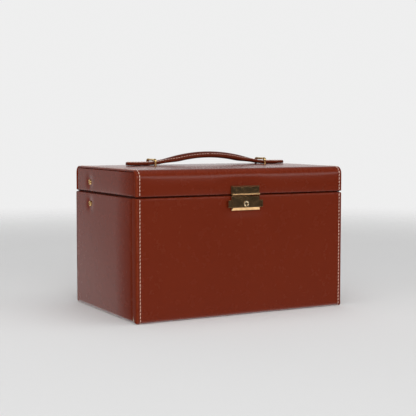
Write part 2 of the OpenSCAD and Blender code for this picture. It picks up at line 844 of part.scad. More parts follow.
// Wire loop: two legs, two bends and a crossbar
module right_loop() {
  color("#c9a766") translate([loop_x, 0, 0]) union() {
    for (s = [-1, 1]) {
      translate([0, s*loop_y, loop_foot_z]) cylinder(r = wire_r, h = loop_z - bend_r - loop_foot_z);
      translate([0, s*(loop_y - bend_r), loop_z - bend_r]) rotate([0, 0, s*90]) rotate([90, 0, 0])
        rotate_extrude(angle = 90) translate([bend_r, 0]) circle(r = wire_r);
    }
    bar_y(0, [-loop_y + bend_r, loop_y - bend_r], loop_z, wire_r);
  }
}

module left_loop() { left_side() right_loop(); }

module loop_plates() {
  color("#8a7a50") for (x = [-1, 1]) difference() {
    block([x*loop_x - 5, x*loop_x + 5], [-15, 15], [backing_z, top_board_z]);
    for (y = [-loop_y, loop_y]) translate([x*loop_x, y, backing_z - 1]) cylinder(r = wire_r + fit, h = 3);
  }
}

// Height of the grip's top and its thickness at a share u of the way to its ends
function grip_top(u) = strap_top_z + grip_rise*(1 - u*u);
function grip_thick(u) = strap_t + (grip_t - strap_t)*(1 - pow(abs(u), 4));
module grip() {
  n = 24;
  u = [for (i = [0:n]) -1 + 2*i/n];
  over = strap_t;
  color("#6c2a14") along_y([-strap_w/2, strap_w/2]) polygon(concat(
    [for (v = u) [v*grip_x + (abs(v) == 1 ? v*over : 0), grip_top(v)]],
    [for (i = [0:n]) let (v = u[n - i]) [v*grip_x, grip_top(v) - grip_thick(v)]]));
}

// Flat ends of the strap, wide outside the loops and cut away under the grip's ends
module strap_end() {
  color("#6c2a14") difference() {
    union() {
      block([grip_x, tip_x - tab_l], [-strap_w/2, strap_w/2], [strap_z, strap_top_z]);
      block([tip_x - tab_l, tip_x - tab_r], [-tab_r, tab_r], [strap_z, strap_top_z]);
      intersection() {
        translate([tip_x - tab_r, 0, strap_z]) cylinder(r = tab_r, h = strap_t);
        block([tip_x - tab_l, tip_x], [-tab_r, tab_r], [strap_z, strap_top_z]);
      }
    }
    along_y([-strap_w, strap_w]) polygon([[grip_x - 1, strap_z - 1 - move], [grip_x - 1, strap_top_z + 2],
      [grip_x + strap_t + 2 + move, strap_top_z + 2], [grip_x - 1 + move, strap_z - 1]]);
  }
}

module left_strap_end() { left_side() strap_end(); }
module right_strap_end() { strap_end(); }

base_cover();
base_board();
front_board();
front_padding();
back_board();
left_board();
right_board();
front_leather();
back_leather();
left_panel();
right_panel();
rim_binding();
body_lining();
floor_pad();
rear_divider();
well_dividers();
pillow_shelf();
pillows();
body_hinge_leaf();
hinge_pin();
lock_back_plate();
lock_cover();
key_escutcheon();
key_post();
lock_spring();
lock_nails();
arm_rivets();
slide_bar();
lid_top_board();
lid_front_board();
lid_back_board();
lid_side_boards();
lid_padding();
lid_leather();
lid_left_panel();
lid_right_panel();
lid_rim_binding();
lid_lining();
mirror_backing();
mirror_glass();
mirror_frame();
lid_hinge_leaf();
hasp_plate();
hasp_tongue();
bracket_rivets();
left_loop();
right_loop();
loop_plates();
tray_floor();
tray_walls();
tray_dividers();
ring_rolls();
left_bracket();
right_bracket();
arm_pins();
left_arm();
right_arm();
grip();
left_strap_end();
right_strap_end();
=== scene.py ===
import json
import math

import bmesh
import bpy
import numpy as np
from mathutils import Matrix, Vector

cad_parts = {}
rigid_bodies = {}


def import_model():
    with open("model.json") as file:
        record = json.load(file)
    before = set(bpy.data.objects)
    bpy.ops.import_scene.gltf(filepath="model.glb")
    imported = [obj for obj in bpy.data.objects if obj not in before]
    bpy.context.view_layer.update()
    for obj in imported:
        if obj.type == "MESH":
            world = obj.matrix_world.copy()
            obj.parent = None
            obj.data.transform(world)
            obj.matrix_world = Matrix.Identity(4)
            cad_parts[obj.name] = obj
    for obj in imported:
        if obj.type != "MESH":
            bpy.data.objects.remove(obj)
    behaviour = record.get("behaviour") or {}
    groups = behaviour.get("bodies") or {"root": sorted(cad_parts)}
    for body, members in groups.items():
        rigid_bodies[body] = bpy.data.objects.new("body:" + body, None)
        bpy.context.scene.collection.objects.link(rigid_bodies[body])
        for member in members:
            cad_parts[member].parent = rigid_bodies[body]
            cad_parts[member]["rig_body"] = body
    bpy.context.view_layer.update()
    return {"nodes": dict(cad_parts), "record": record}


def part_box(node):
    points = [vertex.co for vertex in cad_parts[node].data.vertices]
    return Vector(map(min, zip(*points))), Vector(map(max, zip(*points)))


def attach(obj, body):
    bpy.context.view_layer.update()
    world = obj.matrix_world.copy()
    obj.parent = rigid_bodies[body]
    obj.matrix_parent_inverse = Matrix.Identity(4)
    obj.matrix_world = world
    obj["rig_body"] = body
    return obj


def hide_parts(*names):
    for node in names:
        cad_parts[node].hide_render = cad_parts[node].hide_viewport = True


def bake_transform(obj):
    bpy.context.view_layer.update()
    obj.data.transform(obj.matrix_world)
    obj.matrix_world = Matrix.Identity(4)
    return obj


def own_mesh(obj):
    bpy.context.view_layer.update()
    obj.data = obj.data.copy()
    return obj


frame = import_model()
scene = bpy.context.scene
mm = 0.001    # sizes below are millimetres unless they say metres


# Stands to the left of the lock, a little above the case
camera = {"azimuth": -28.4, "elevation": 4.209, "distance": 1.1762,     # degrees, metres
          "lens": 86.97, "target": (0.000774, 0.0, 0.112267)}

azimuth, elevation = math.radians(camera["azimuth"]), math.radians(camera["elevation"])
back = Vector((math.sin(azimuth) * math.cos(elevation), -math.cos(azimuth) * math.cos(elevation),
               math.sin(elevation)))
eye = bpy.data.objects.new("camera", bpy.data.cameras.new("camera"))
eye.data.lens = camera["lens"]
eye.location = Vector(camera["target"]) + back * camera["distance"]
eye.rotation_mode = "QUATERNION"
eye.rotation_quaternion = (-back).to_track_quat("-Z", "Y")
scene.collection.objects.link(eye)
scene.camera = eye
print("camera is set")


# Lowest and highest corner of a CAD node in millimetres
def boxOf(node):
    low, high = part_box(node)
    return np.array(low) / mm, np.array(high) / mm


bodyLow, bodyHigh = boxOf("front_leather")
lidLow, lidHigh = boxOf("lid_leather")
panelLow, panelHigh = boxOf("right_panel")
lidPanelLow, lidPanelHigh = boxOf("lid_right_panel")
backLow, backHigh = boxOf("back_leather")
lockLow, lockHigh = boxOf("lock_cover")
haspLow, haspHigh = boxOf("hasp_plate")
bodyRivet, lidRivet = sum(boxOf("arm_rivets")) / 2, sum(boxOf("bracket_rivets")) / 2
sideX = lidHigh[0]


# Slides from 0 at a to 1 at b, level at both ends
def smoothStep(x, a, b):
    t = np.clip((x - a) / (b - a), 0, 1)
    return t * t * (3 - 2 * t)


# Quads between neighbouring points of a grid counted row by row; a wrapped side joins its last line to its first
def gridQuads(rows, cols, wrapRows=False, wrapCols=False):
    r, c = np.meshgrid(np.arange(rows if wrapRows else rows - 1), np.arange(cols if wrapCols else cols - 1),
                       indexing="ij")
    r2, c2 = (r + 1) % rows, (c + 1) % cols
    return np.stack([r * cols + c, r * cols + c2, r2 * cols + c2, r2 * cols + c], -1).reshape(-1, 4)


# Faces of a tube counted ring by ring, with one face over each end
def tubeFaces(rings, sides):
    cap = np.arange(sides)[None]
    return [gridQuads(rings, sides, wrapCols=True), cap[:, ::-1], cap + (rings - 1) * sides]


# Several shapes as one: each one's faces count on from the points before it
def joinShapes(shapes):
    shift = np.cumsum([0] + [len(points) for points, _ in shapes])
    faces = [np.concatenate([sets[i] + shift[k] for k, (_, sets) in enumerate(shapes)]) for i in range(3)]
    return np.concatenate([points for points, _ in shapes]), faces


# Sum of the tetrahedra from the origin to each face; negative where the faces look inwards
def signedVolume(points, faceSets):
    return sum(np.einsum("ij,ij->", points[f[:, 0]], np.cross(points[f[:, k]], points[f[:, k + 1]]))
               for f in faceSets for k in range(1, f.shape[1] - 1)) / 6


# An object for a mesh, on the body it rides on, with the CAD nodes it stands for hidden
def placeMesh(name, mesh, body=None, replaced=()):
    piece = bpy.data.objects.new(name, mesh)
    scene.collection.objects.link(piece)
    if body:
        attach(piece, body)
    if replaced:
        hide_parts(*replaced)
    return piece


# A mesh object from points in millimetres and arrays of faces, turned outwards
def makePiece(name, points, faceSets, material, slotName=None, body=None, replaced=(), marks=None, sharpAngle=None,
              matt=None):
    if signedVolume(points, faceSets) < 0:
        faceSets = [f[:, ::-1] for f in faceSets]
    mesh = bpy.data.meshes.new(name)
    mesh.from_pydata((points * mm).tolist(), [], [face for f in faceSets for face in f.tolist()])
    for mark, values in (marks or {}).items():
        mesh.attributes.new(mark, "FLOAT", "POINT").data.foreach_set("value", values.astype(np.float32))
    mesh.materials.append(material)
    if matt is not None:    # faces whose corners are all marked take the matt leather
        mesh.materials.append(finishes["mattLeather"])
        chosen = np.concatenate([matt[f].all(1) for f in faceSets])
        mesh.polygons.foreach_set("material_index", chosen.astype(np.int32))
    mesh.shade_smooth()
    if sharpAngle:
        mesh.set_sharp_from_angle(angle=math.radians(sharpAngle))
    return placeMesh(name, mesh, body, replaced)


# Path through right-angled corners: straight runs joined by quarter circles. The outward side is on its right.
# Gives the points, their outward normals, and 1 on the quarter circles, 0 on the runs.
def cornerPath(corners, radii, runs, arcSteps, closed=False):
    corners, count = np.array(corners, float), len(corners)
    points, normals, bends = [], [], []
    legs = count if closed else count - 1
    for i in range(legs):
        a, b = corners[i], corners[(i + 1) % count]
        way = (b - a) / np.linalg.norm(b - a)
        side = np.array([way[1], -way[0]])
        along = np.linspace(0, 1, runs[i] + 1)[:, None]
        points.append((a + way * radii[i]) * (1 - along) + (b - way * radii[(i + 1) % count]) * along)
        normals.append(np.repeat(side[None], runs[i] + 1, 0))
        bends.append(np.zeros(runs[i] + 1))
        if closed or i < legs - 1:
            c = corners[(i + 2) % count]
            onward = (c - b) / np.linalg.norm(c - b)
            turn = np.array([onward[1], -onward[0]])
            r = radii[(i + 1) % count]
            t = np.linspace(0, np.pi / 2, arcSteps + 1)[1:-1, None]
            points.append(b + onward * r - way * r + r * (side * np.cos(t) + turn * np.sin(t)))
            normals.append(side * np.cos(t) + turn * np.sin(t))
            bends.append(np.ones(len(t)))
    return np.concatenate(points), np.concatenate(normals), np.concatenate(bends)


# Stations from the middle to an end: even steps, close steps about the stitches, then a quarter turn
def endStations(even, close, steps):
    turn = np.linspace(0, np.pi / 2, steps + 1)
    x = np.concatenate([np.linspace(0, close[0], even), close[1:], np.full(len(turn), np.nan)])
    return x, np.concatenate([np.zeros(even + len(close) - 1), turn])


# The same rows again in reverse order, in front of them
def mirrorRows(rows):
    return np.concatenate([rows[::-1], rows[1:]])


# How deep the leather lies near a plate: 1 at its outline, fading over reach
def nearPlate(x, z, low, high, reach):
    dx = np.maximum(np.abs(x) - high[0], 0)
    dz = np.maximum(np.maximum(low[2] - z, z - high[2]), 0)
    return np.exp(-(dx ** 2 + dz ** 2) / reach ** 2)


# An empty node group with named inputs and outputs, all of them floats
def newGroup(name, inputs, outputs):
    group = bpy.data.node_groups.new(name, "ShaderNodeTree")
    for label, value in inputs.items():
        group.interface.new_socket(label, in_out="INPUT", socket_type="NodeSocketFloat").default_value = value
    for label in outputs:
        group.interface.new_socket(label, in_out="OUTPUT", socket_type="NodeSocketFloat")
    return group, group.nodes.new("NodeGroupInput").outputs, group.nodes.new("NodeGroupOutput").inputs


# Adds a node, sets its properties, and links or sets its inputs
def addNode(tree, kind, inputs=None, **settings):
    node = tree.nodes.new("ShaderNode" + kind)
    for key, value in settings.items():
        setattr(node, key, value)
    for key, value in (inputs or {}).items():
        if isinstance(value, bpy.types.NodeSocket):
            tree.links.new(value, node.inputs[key])
        else:
            node.inputs[key].default_value = value
    return node


def maths(tree, operation, a, b=0.0, c=0.0, clamp=False):
    return addNode(tree, "Math", {0: a, 1: b, 2: c}, operation=operation, use_clamp=clamp).outputs[0]


def noise(tree, place, scale, detail, roughness=0.5, output="Fac"):
    return addNode(tree, "TexNoise", {"Vector": place, "Scale": scale, "Detail": detail,
                                      "Roughness": roughness}).outputs[output]


# Pores are the cells of a Voronoi pattern bent by noise; Tone drifts slowly over the hide
def makeLeatherGrain():
    group, given, out = newGroup("leatherGrain", {"Scale": 900, "Crease": 0.06}, ["Height", "Tone", "Rub"])
    place = addNode(group, "TexCoord").outputs["Object"]
    bend = noise(group, place, 260.0, 2.0, output="Color")
    bent = addNode(group, "VectorMath", {0: bend, "Scale": 0.0012}, operation="SCALE").outputs[0]
    spot = addNode(group, "VectorMath", {0: place, 1: bent}, operation="ADD").outputs[0]
    cells = addNode(group, "TexVoronoi", {"Vector": spot, "Scale": given["Scale"]}, feature="SMOOTH_F1")
    fine = noise(group, place, 1500.0, 3.0)
    crease = maths(group, "MULTIPLY", noise(group, place, 55.0, 3.0), given["Crease"])
    height = maths(group, "MULTIPLY_ADD", cells.outputs["Distance"], -0.5, maths(group, "MULTIPLY", fine, 0.35))
    group.links.new(maths(group, "ADD", height, crease), out["Height"])
    group.links.new(noise(group, place, 9.0, 4.0, 0.6), out["Tone"])
    group.links.new(noise(group, place, 70.0, 5.0, 0.7), out["Rub"])
    return group


# Where the "wear" mark is high, broken up by noise
def makeEdgeWear():
    group, given, out = newGroup("edgeWear", {"Amount": 0.5}, ["Mask"])
    mark = addNode(group, "Attribute", attribute_name="wear", attribute_type="GEOMETRY").outputs["Fac"]
    place = addNode(group, "TexCoord").outputs["Object"]
    patchy = maths(group, "MULTIPLY_ADD", noise(group, place, 180.0, 4.0), 1.6, -0.3, clamp=True)
    broken = maths(group, "MULTIPLY", patchy, mark)
    group.links.new(maths(group, "MULTIPLY", broken, given["Amount"], clamp=True), out["Mask"])
    return group


# Short fibres: fine noise for the height, a coarser one for where the pile is brushed the other way
def makePile():
    group, given, out = newGroup("pile", {"Fibre": 2600, "Brush": 30}, ["Height", "Tone"])
    place = addNode(group, "TexCoord").outputs["Object"]
    fibre = noise(group, place, given["Fibre"], 3.0)
    brush = noise(group, place, given["Brush"], 5.0, 0.65)
    group.links.new(maths(group, "MULTIPLY_ADD", brush, 0.4, fibre), out["Height"])
    group.links.new(maths(group, "MULTIPLY_ADD", fibre, 0.35, maths(group, "MULTIPLY", brush, 0.65)), out["Tone"])
    return group


# Fine lines drawn along X, and cloudy tarnish
def makeBrushing():
    group, given, out = newGroup("brushing", {"Lines": 4000, "Cloud": 160}, ["Height", "Tarnish"])
    place = addNode(group, "TexCoord").outputs["Object"]
    drawn = addNode(group, "Mapping", {"Vector": place, "Scale": (0.05, 1.0, 1.0)}).outputs[0]
    group.links.new(noise(group, drawn, given["Lines"], 2.0), out["Height"])
    group.links.new(noise(group, place, given["Cloud"], 5.0, 0.6), out["Tarnish"])
    return group


# Plies of a thread: bands that wind round it, from the "along" and "around" marks
def makePly():
    group, given, out = newGroup("ply", {"Twist": 3.0}, ["Height"])
    along = addNode(group, "Attribute", attribute_name="along", attribute_type="GEOMETRY").outputs["Fac"]
    around = addNode(group, "Attribute", attribute_name="around", attribute_type="GEOMETRY").outputs["Fac"]
    phase = maths(group, "MULTIPLY_ADD", along, given["Twist"], around)
    wave = maths(group, "SINE", maths(group, "MULTIPLY", phase, 2 * math.pi * 2))
    group.links.new(maths(group, "MULTIPLY_ADD", wave, 0.5, 0.5), out["Height"])
    return group


leatherGrain, edgeWear, pile, brushing, ply = (
    makeLeatherGrain(), makeEdgeWear(), makePile(), makeBrushing(), makePly())


def placeGroup(tree, group, **values):
    node = addNode(tree, "Group", node_tree=group)
    for key, value in values.items():
        node.inputs[key].default_value = value
    return node.outputs


# A colour between two, by a mask
def mixColour(tree, mask, a, b):
    node = addNode(tree, "Mix", {"Factor": mask, 6: a if isinstance(a, bpy.types.NodeSocket) else (*a, 1),
                                 7: b if isinstance(b, bpy.types.NodeSocket) else (*b, 1)}, data_type="RGBA")
    return node.outputs[2]


# A material with its Principled shader and the shader's constant values
def newMaterial(name, **values):
    material = bpy.data.materials.new(name)
    material.use_nodes = True
    shader = material.node_tree.nodes["Principled BSDF"]
    for key, value in values.items():
        shader.inputs[key.replace("_", " ")].default_value = value
    return material, material.node_tree, shader.inputs


def bump(tree, inputs, height, depth):
    node = addNode(tree, "Bump", {"Height": height, "Distance": depth, "Strength": 1.0})
    tree.links.new(node.outputs[0], inputs["Normal"])


leather = {"case": (0.144, 0.0172, 0.0046), "deep": (0.133, 0.0150, 0.0038), "worn": (0.28, 0.066, 0.028),
           "strap": (0.094, 0.0122, 0.0036), "strapDeep": (0.076, 0.0096, 0.0027),
           # near black: painted shade for the split between lid and body
           "weltDye": (0.040, 0.0060, 0.0025),
           "roughness": 0.27, "specular": 0.22, "contrast": (2.2, -0.6), "rub": 0.05, "wornRough": 0.15,
           "grain": 900, "depth": 0.000018}


# Smooth dyed calf: fine pores, slow drift of the dye, paler and rougher where edges are rubbed
def makeLeather(name, scale=1.0, depth=1.0, roughness=0.0, wear=0.35, shine=1.0, dye=("case", "deep")):
    material, tree, inputs = newMaterial(name, Specular_IOR_Level=leather["specular"] * shine)
    grain = placeGroup(tree, leatherGrain, Scale=leather["grain"] * scale)
    worn = placeGroup(tree, edgeWear, Amount=wear)["Mask"]
    tone = maths(tree, "MULTIPLY_ADD", grain["Tone"], *leather["contrast"], clamp=True)
    dyed = mixColour(tree, tone, leather[dye[1]], leather[dye[0]])
    tree.links.new(mixColour(tree, worn, dyed, leather["worn"]), inputs["Base Color"])
    rough = maths(tree, "MULTIPLY_ADD", grain["Rub"], leather["rub"],
                  leather["roughness"] + roughness - leather["rub"] / 2)
    tree.links.new(maths(tree, "MULTIPLY_ADD", worn, leather["wornRough"], rough), inputs["Roughness"])
    bump(tree, inputs, grain["Height"], leather["depth"] * depth)
    return material


# Napped cloth: two shades of the pile, with a sheen
def makeVelvet(name, light, dark, sheen=0.5):
    material, tree, inputs = newMaterial(name, Roughness=0.95, Specular_IOR_Level=0.1, Sheen_Weight=sheen,
                                         Sheen_Roughness=0.5)
    nap = placeGroup(tree, pile)
    tone = maths(tree, "MULTIPLY_ADD", nap["Tone"], 2.4, -0.7, clamp=True)
    tree.links.new(mixColour(tree, tone, dark, light), inputs["Base Color"])
    bump(tree, inputs, nap["Height"], 0.00012)
    return material


# Metal with drawn lines, darker and duller where it has tarnished
def makeMetal(name, bright, dull, roughness, tarnish):
    material, tree, inputs = newMaterial(name, Metallic=1.0)
    drawn = placeGroup(tree, brushing)
    cloud = maths(tree, "MULTIPLY_ADD", drawn["Tarnish"], 3.0, tarnish - 1.5, clamp=True)
    tree.links.new(mixColour(tree, cloud, bright, dull), inputs["Base Color"])
    tree.links.new(maths(tree, "MULTIPLY_ADD", cloud, 0.12, roughness), inputs["Roughness"])
    bump(tree, inputs, drawn["Height"], 0.000008)
    return material


# Grey board: fibres of two lengths
def makeBoard(name, light, dark):
    material, tree, inputs = newMaterial(name, Roughness=0.9, Specular_IOR_Level=0.2)
    nap = placeGroup(tree, pile, Fibre=700, Brush=90)
    tree.links.new(mixColour(tree, nap["Tone"], dark, light), inputs["Base Color"])
    bump(tree, inputs, nap["Height"], 0.0001)
    return material


# Waxed linen thread: plies wound round it, with painted shade that darkens the grooves between plies
def makeThread(name, light, dark):
    material, tree, inputs = newMaterial(name, Roughness=0.55, Specular_IOR_Level=0.35)
    wound = placeGroup(tree, ply)["Height"]
    # dark in the grooves and light on the crests: painted shade
    tree.links.new(mixColour(tree, wound, dark, light), inputs["Base Color"])
    bump(tree, inputs, wound, 0.00012)
    return material


# Mirror: bright silver with a trace of haze
def makeMirror(name):
    material, tree, inputs = newMaterial(name, Metallic=1.0, Base_Color=(0.90, 0.92, 0.91, 1))
    haze = placeGroup(tree, brushing, Cloud=12)["Tarnish"]
    tree.links.new(maths(tree, "MULTIPLY_ADD", haze, 0.02, 0.01), inputs["Roughness"])
    return material


finishes = {
    "leather": makeLeather("caseLeather"),
    "mattLeather": makeLeather("mattLeather", roughness=0.12, shine=0.08),
    "side_leather": makeLeather("sideLeather", scale=0.95),
    "strap_leather": makeLeather("strapLeather", scale=1.1, depth=1.5, roughness=0.08, wear=0.2, shine=0.32,
                                 dye=("strap", "strapDeep")),
    # the welts' near-black leather is painted shade in the split between lid and body
    "welt": makeLeather("weltLeather", roughness=0.25, wear=0.0, shine=0.2, dye=("weltDye", "weltDye")),
    "trim_leather": makeLeather("trimLeather", scale=1.2, roughness=0.12, dye=("strap", "strapDeep")),
    "base_cloth": makeVelvet("baseCloth", (0.060, 0.030, 0.022), (0.030, 0.014, 0.010), sheen=0.1),
    "board": makeBoard("greyBoard", (0.45, 0.40, 0.32), (0.30, 0.26, 0.20)),
    "foam": makeBoard("foam", (0.80, 0.76, 0.60), (0.65, 0.60, 0.45)),
    "lining": makeVelvet("lining", (0.62, 0.50, 0.37), (0.46, 0.35, 0.24)),
    "pillow_cloth": makeVelvet("pillowCloth", (0.68, 0.57, 0.43), (0.50, 0.40, 0.28), sheen=0.6),
    "brass": makeMetal("brass", (0.90, 0.62, 0.27), (0.62, 0.38, 0.14), 0.20, 0.1),
    "paleBrass": makeMetal("paleBrass", (0.98, 0.82, 0.58), (0.80, 0.62, 0.38), 0.22, -0.1),
    "dark_brass": makeMetal("darkBrass", (0.64, 0.40, 0.20), (0.44, 0.26, 0.12), 0.17, 0.25),
    "steel": makeMetal("steel", (0.62, 0.60, 0.57), (0.42, 0.40, 0.38), 0.28, 0.1),
    "mirror": makeMirror("mirrorSilver"),
}
thread = makeThread("thread", (0.86, 0.62, 0.52), (0.52, 0.30, 0.22))
slotOf = {part["node"]: part["material_slot"] for part in frame["record"]["subparts"]}
for node, piece in frame["nodes"].items():
    piece.data.materials.clear()
    piece.data.materials.append(finishes[slotOf[node]])
print("materials are made")


# Stations near the end of the leather, measured in from the case's side: close together about the stitches
closeStations = np.array([6.8, 5.8, 5.2, 4.8, 4.4, 4.0, 3.6, 3.2, 2.8])
lidShell = {"edge": 9.0, "lip": 1.2, "thick": 1.3, "crown": 1.8, "crownPower": 10, "bulge": 0.8, "bulgePower": 8,
            "plateDip": 1.3, "plateReach": 7, "frontRound": 2.2, "topRound": 1.0, "lipRound": 0.4, "band": 5.2,
            "topBand": 2.0, "bandCorner": 4.0, "bandDepth": 3, "frontRoll": 1.1, "topRoll": 0.5, "topFade": 6,
            "stitchIn": 4.0, "stitchDip": 0.35, "steps": 16, "turnSteps": 7, "runs": [1, 14, 34, 14, 1],
            "arcSteps": 9, "wearEnd": 0.8, "wearBend": 0.25, "mattIn": 1.0, "mattDown": 1.5, "hair": 0.02,
            "sharp": 50}
crownHalf = lidHigh[1] - lidShell["edge"]


# Crown of the lid's top: highest in the middle, level at the ends
def lidCrown(x, y):
    across = 1 - np.abs(x / sideX) ** lidShell["crownPower"]
    return lidShell["crown"] * np.clip(1 - (y / crownHalf) ** 2, 0, 1) * across


# Bulge of the lid's padded front, drawn in by the hasp plate
def lidBulge(x, z):
    middle = (lidLow[2] + lidHigh[2] - lidShell["edge"]) / 2
    half = middle - lidLow[2]
    swell = (1 - np.abs(x / sideX) ** lidShell["bulgePower"]) * np.clip(1 - ((z - middle) / half) ** 2, 0, 1)
    return lidShell["bulge"] * (swell - lidShell["plateDip"]
                                * nearPlate(x, z, haspLow, haspHigh, lidShell["plateReach"]))


furrowHalf = 0.8
frontFade = (3.0, 0.5)    # depths behind the front between which its leather counts as lying on the front


# Shallow furrow that the stitches press into the leather: a bell curve across their line
def stitchDip(x, spec):
    return spec["stitchDip"] * np.exp(-((np.abs(x) - sideX + spec["stitchIn"]) / furrowHalf) ** 2)


# 1 on the front face at frontY, fading to 0 over the rounded edges
def frontShare(y, frontY):
    return smoothStep(-y, -frontY - frontFade[0], -frontY - frontFade[1])


# Outer and inner outlines up the back, over the top and down the front, at every station along X; both outlines
# are drawn in at the ends by a quarter circle, and the inner one widens to the band beside the end panels
def makeLidLeather():
    s = lidShell
    top = lidHigh[2] - s["crown"]
    x, turn = endStations(s["steps"], sideX - closeStations, s["turnSteps"])
    inner = len(x) - s["turnSteps"] - 1
    outerX, outerP, innerX, innerP, worn = [], [], [], [], []
    for k, (station, a) in enumerate(zip(x, turn)):
        draw, topDraw = s["frontRound"] * (1 - np.cos(a)), s["topRound"] * (1 - np.cos(a))
        yf, yb, zt, z0 = lidLow[1] + draw, lidHigh[1] - draw, top - topDraw, lidLow[2] + s["lipRound"] * draw
        p, n, bend = cornerPath([(yb - s["thick"], z0), (yb, z0), (yb, zt), (yf, zt), (yf, z0), (yf + s["thick"], z0)],
                                [0, s["lip"], s["edge"] - draw, s["edge"] - draw, s["lip"], 0],
                                s["runs"], s["arcSteps"])
        drawIn = s["topRound"] * n[:, 1] ** 2 + s["frontRound"] * n[:, 0] ** 2
        px = np.full(len(p), station) if np.isfinite(station) else sideX - drawIn * (1 - np.sin(a))
        outerX.append(px)
        outerP.append(p)
        worn.append(s["wearEnd"] * np.sin(2 * a) + s["wearBend"] * bend * np.abs(n[:, 0] * n[:, 1]))
        ends = k - inner
        width, roof, corner = s["thick"], s["thick"], s["edge"] - s["thick"]
        ix = min(k / inner, 1) * (sideX - s["bandDepth"])
        if ends >= 1:
            roll, topRoll = s["frontRoll"] * (1 - np.cos(a)), s["topRoll"] * (1 - np.cos(a))
            width, roof, corner = s["band"] - roll, s["topBand"] - topRoll, s["bandCorner"]
            ix = sideX - (s["bandDepth"] if ends == 1 else s["frontRoll"] * (1 - np.sin(a)))
        yf, yb, zt = lidLow[1] + width, lidHigh[1] - width, top - roof
        q, _, _ = cornerPath([(yb - s["hair"], lidLow[2]), (yb, lidLow[2]), (yb, zt), (yf, zt), (yf, lidLow[2]),
                              (yf + s["hair"], lidLow[2])],
                             [0, s["hair"] / 2, corner, corner, s["hair"] / 2, 0], s["runs"], s["arcSteps"])
        innerX.append(np.full(len(q), ix))
        innerP.append(q)
    outerX, outerP, innerX, innerP = map(np.array, (outerX, outerP, innerX, innerP))
    worn = mirrorRows(np.concatenate([np.array(worn), np.zeros(innerX.shape)], 1))
    allX = mirrorRows(np.concatenate([outerX, innerX[:, ::-1]], 1))
    allX[:len(x) - 1] *= -1
    y = mirrorRows(np.concatenate([outerP[..., 0], innerP[:, ::-1, 0]], 1))
    z = mirrorRows(np.concatenate([outerP[..., 1], innerP[:, ::-1, 1]], 1))
    outer = np.arange(allX.shape[1]) < outerX.shape[1]
    onTop = outer * smoothStep(z, top - s["topFade"], top)
    onFront = outer * frontShare(y, lidLow[1])
    z = z + onTop * (lidCrown(allX, y) - stitchDip(allX, s))
    y = y - onFront * (lidBulge(allX, z) - stitchDip(allX, s) * (1 - onTop))
    rows, cols = allX.shape
    half = outerX.shape[1]
    rim = np.arange(half - 1)
    cap = np.stack([rim, rim + 1, cols - 2 - rim, cols - 1 - rim], -1)
    faces = [gridQuads(rows, cols, wrapCols=True), cap[:, ::-1], cap + (rows - 1) * cols]
    matt = (np.abs(allX) > sideX - s["mattIn"]) & (z < top - s["mattDown"])
    return makePiece("lidLeather", np.stack([allX, y, z], -1).reshape(-1, 3), faces, finishes["leather"], "leather",
                     "lid", ["lid_leather", "lid_padding"], {"wear": worn.ravel()}, s["sharp"], matt.ravel())


frontShell = {"edge": 3.2, "topEdge": 1.5, "backEdge": 0.6, "bulge": 0.6, "bulgePower": 8, "risePower": 6,
              "plateDip": 1.5, "plateReach": 7, "frontRound": 2.2, "grooveRound": 2.8, "topRound": 1.2,
              "bottomRound": 1.4, "curveHeight": 13.0, "curveTo": 0.3, "curveIn": (3.6, 3.1), "stitchIn": 4.0,
              "stitchDip": 0.35, "steps": 24, "turnSteps": 8, "lastIn": 2.9, "runs": [6, 60, 6, 30], "arcSteps": 8,
              "wearEnd": 0.8, "wearBend": 0.3, "mattIn": 1.0, "sharp": 50}


# Share of the side band's full width at height z: it narrows towards the lower front corner
def bandShare(z):
    t = np.clip((z - bodyLow[2]) / frontShell["curveHeight"], 0, 1)
    return frontShell["curveTo"] + (1 - frontShell["curveTo"]) * np.sqrt(1 - (1 - t) ** 2)


# Bulge of the padded front, drawn in by the lock
def frontBulge(x, z):
    middle, half = (bodyLow[2] + bodyHigh[2]) / 2, (bodyHigh[2] - bodyLow[2]) / 2
    s = frontShell
    swell = (1 - np.abs(x / sideX) ** s["bulgePower"]) * np.clip(1 - np.abs((z - middle) / half) ** s["risePower"],
                                                                 0, 1)
    return s["bulge"] * (swell - s["plateDip"] * nearPlate(x, z, lockLow, lockHigh, s["plateReach"]))


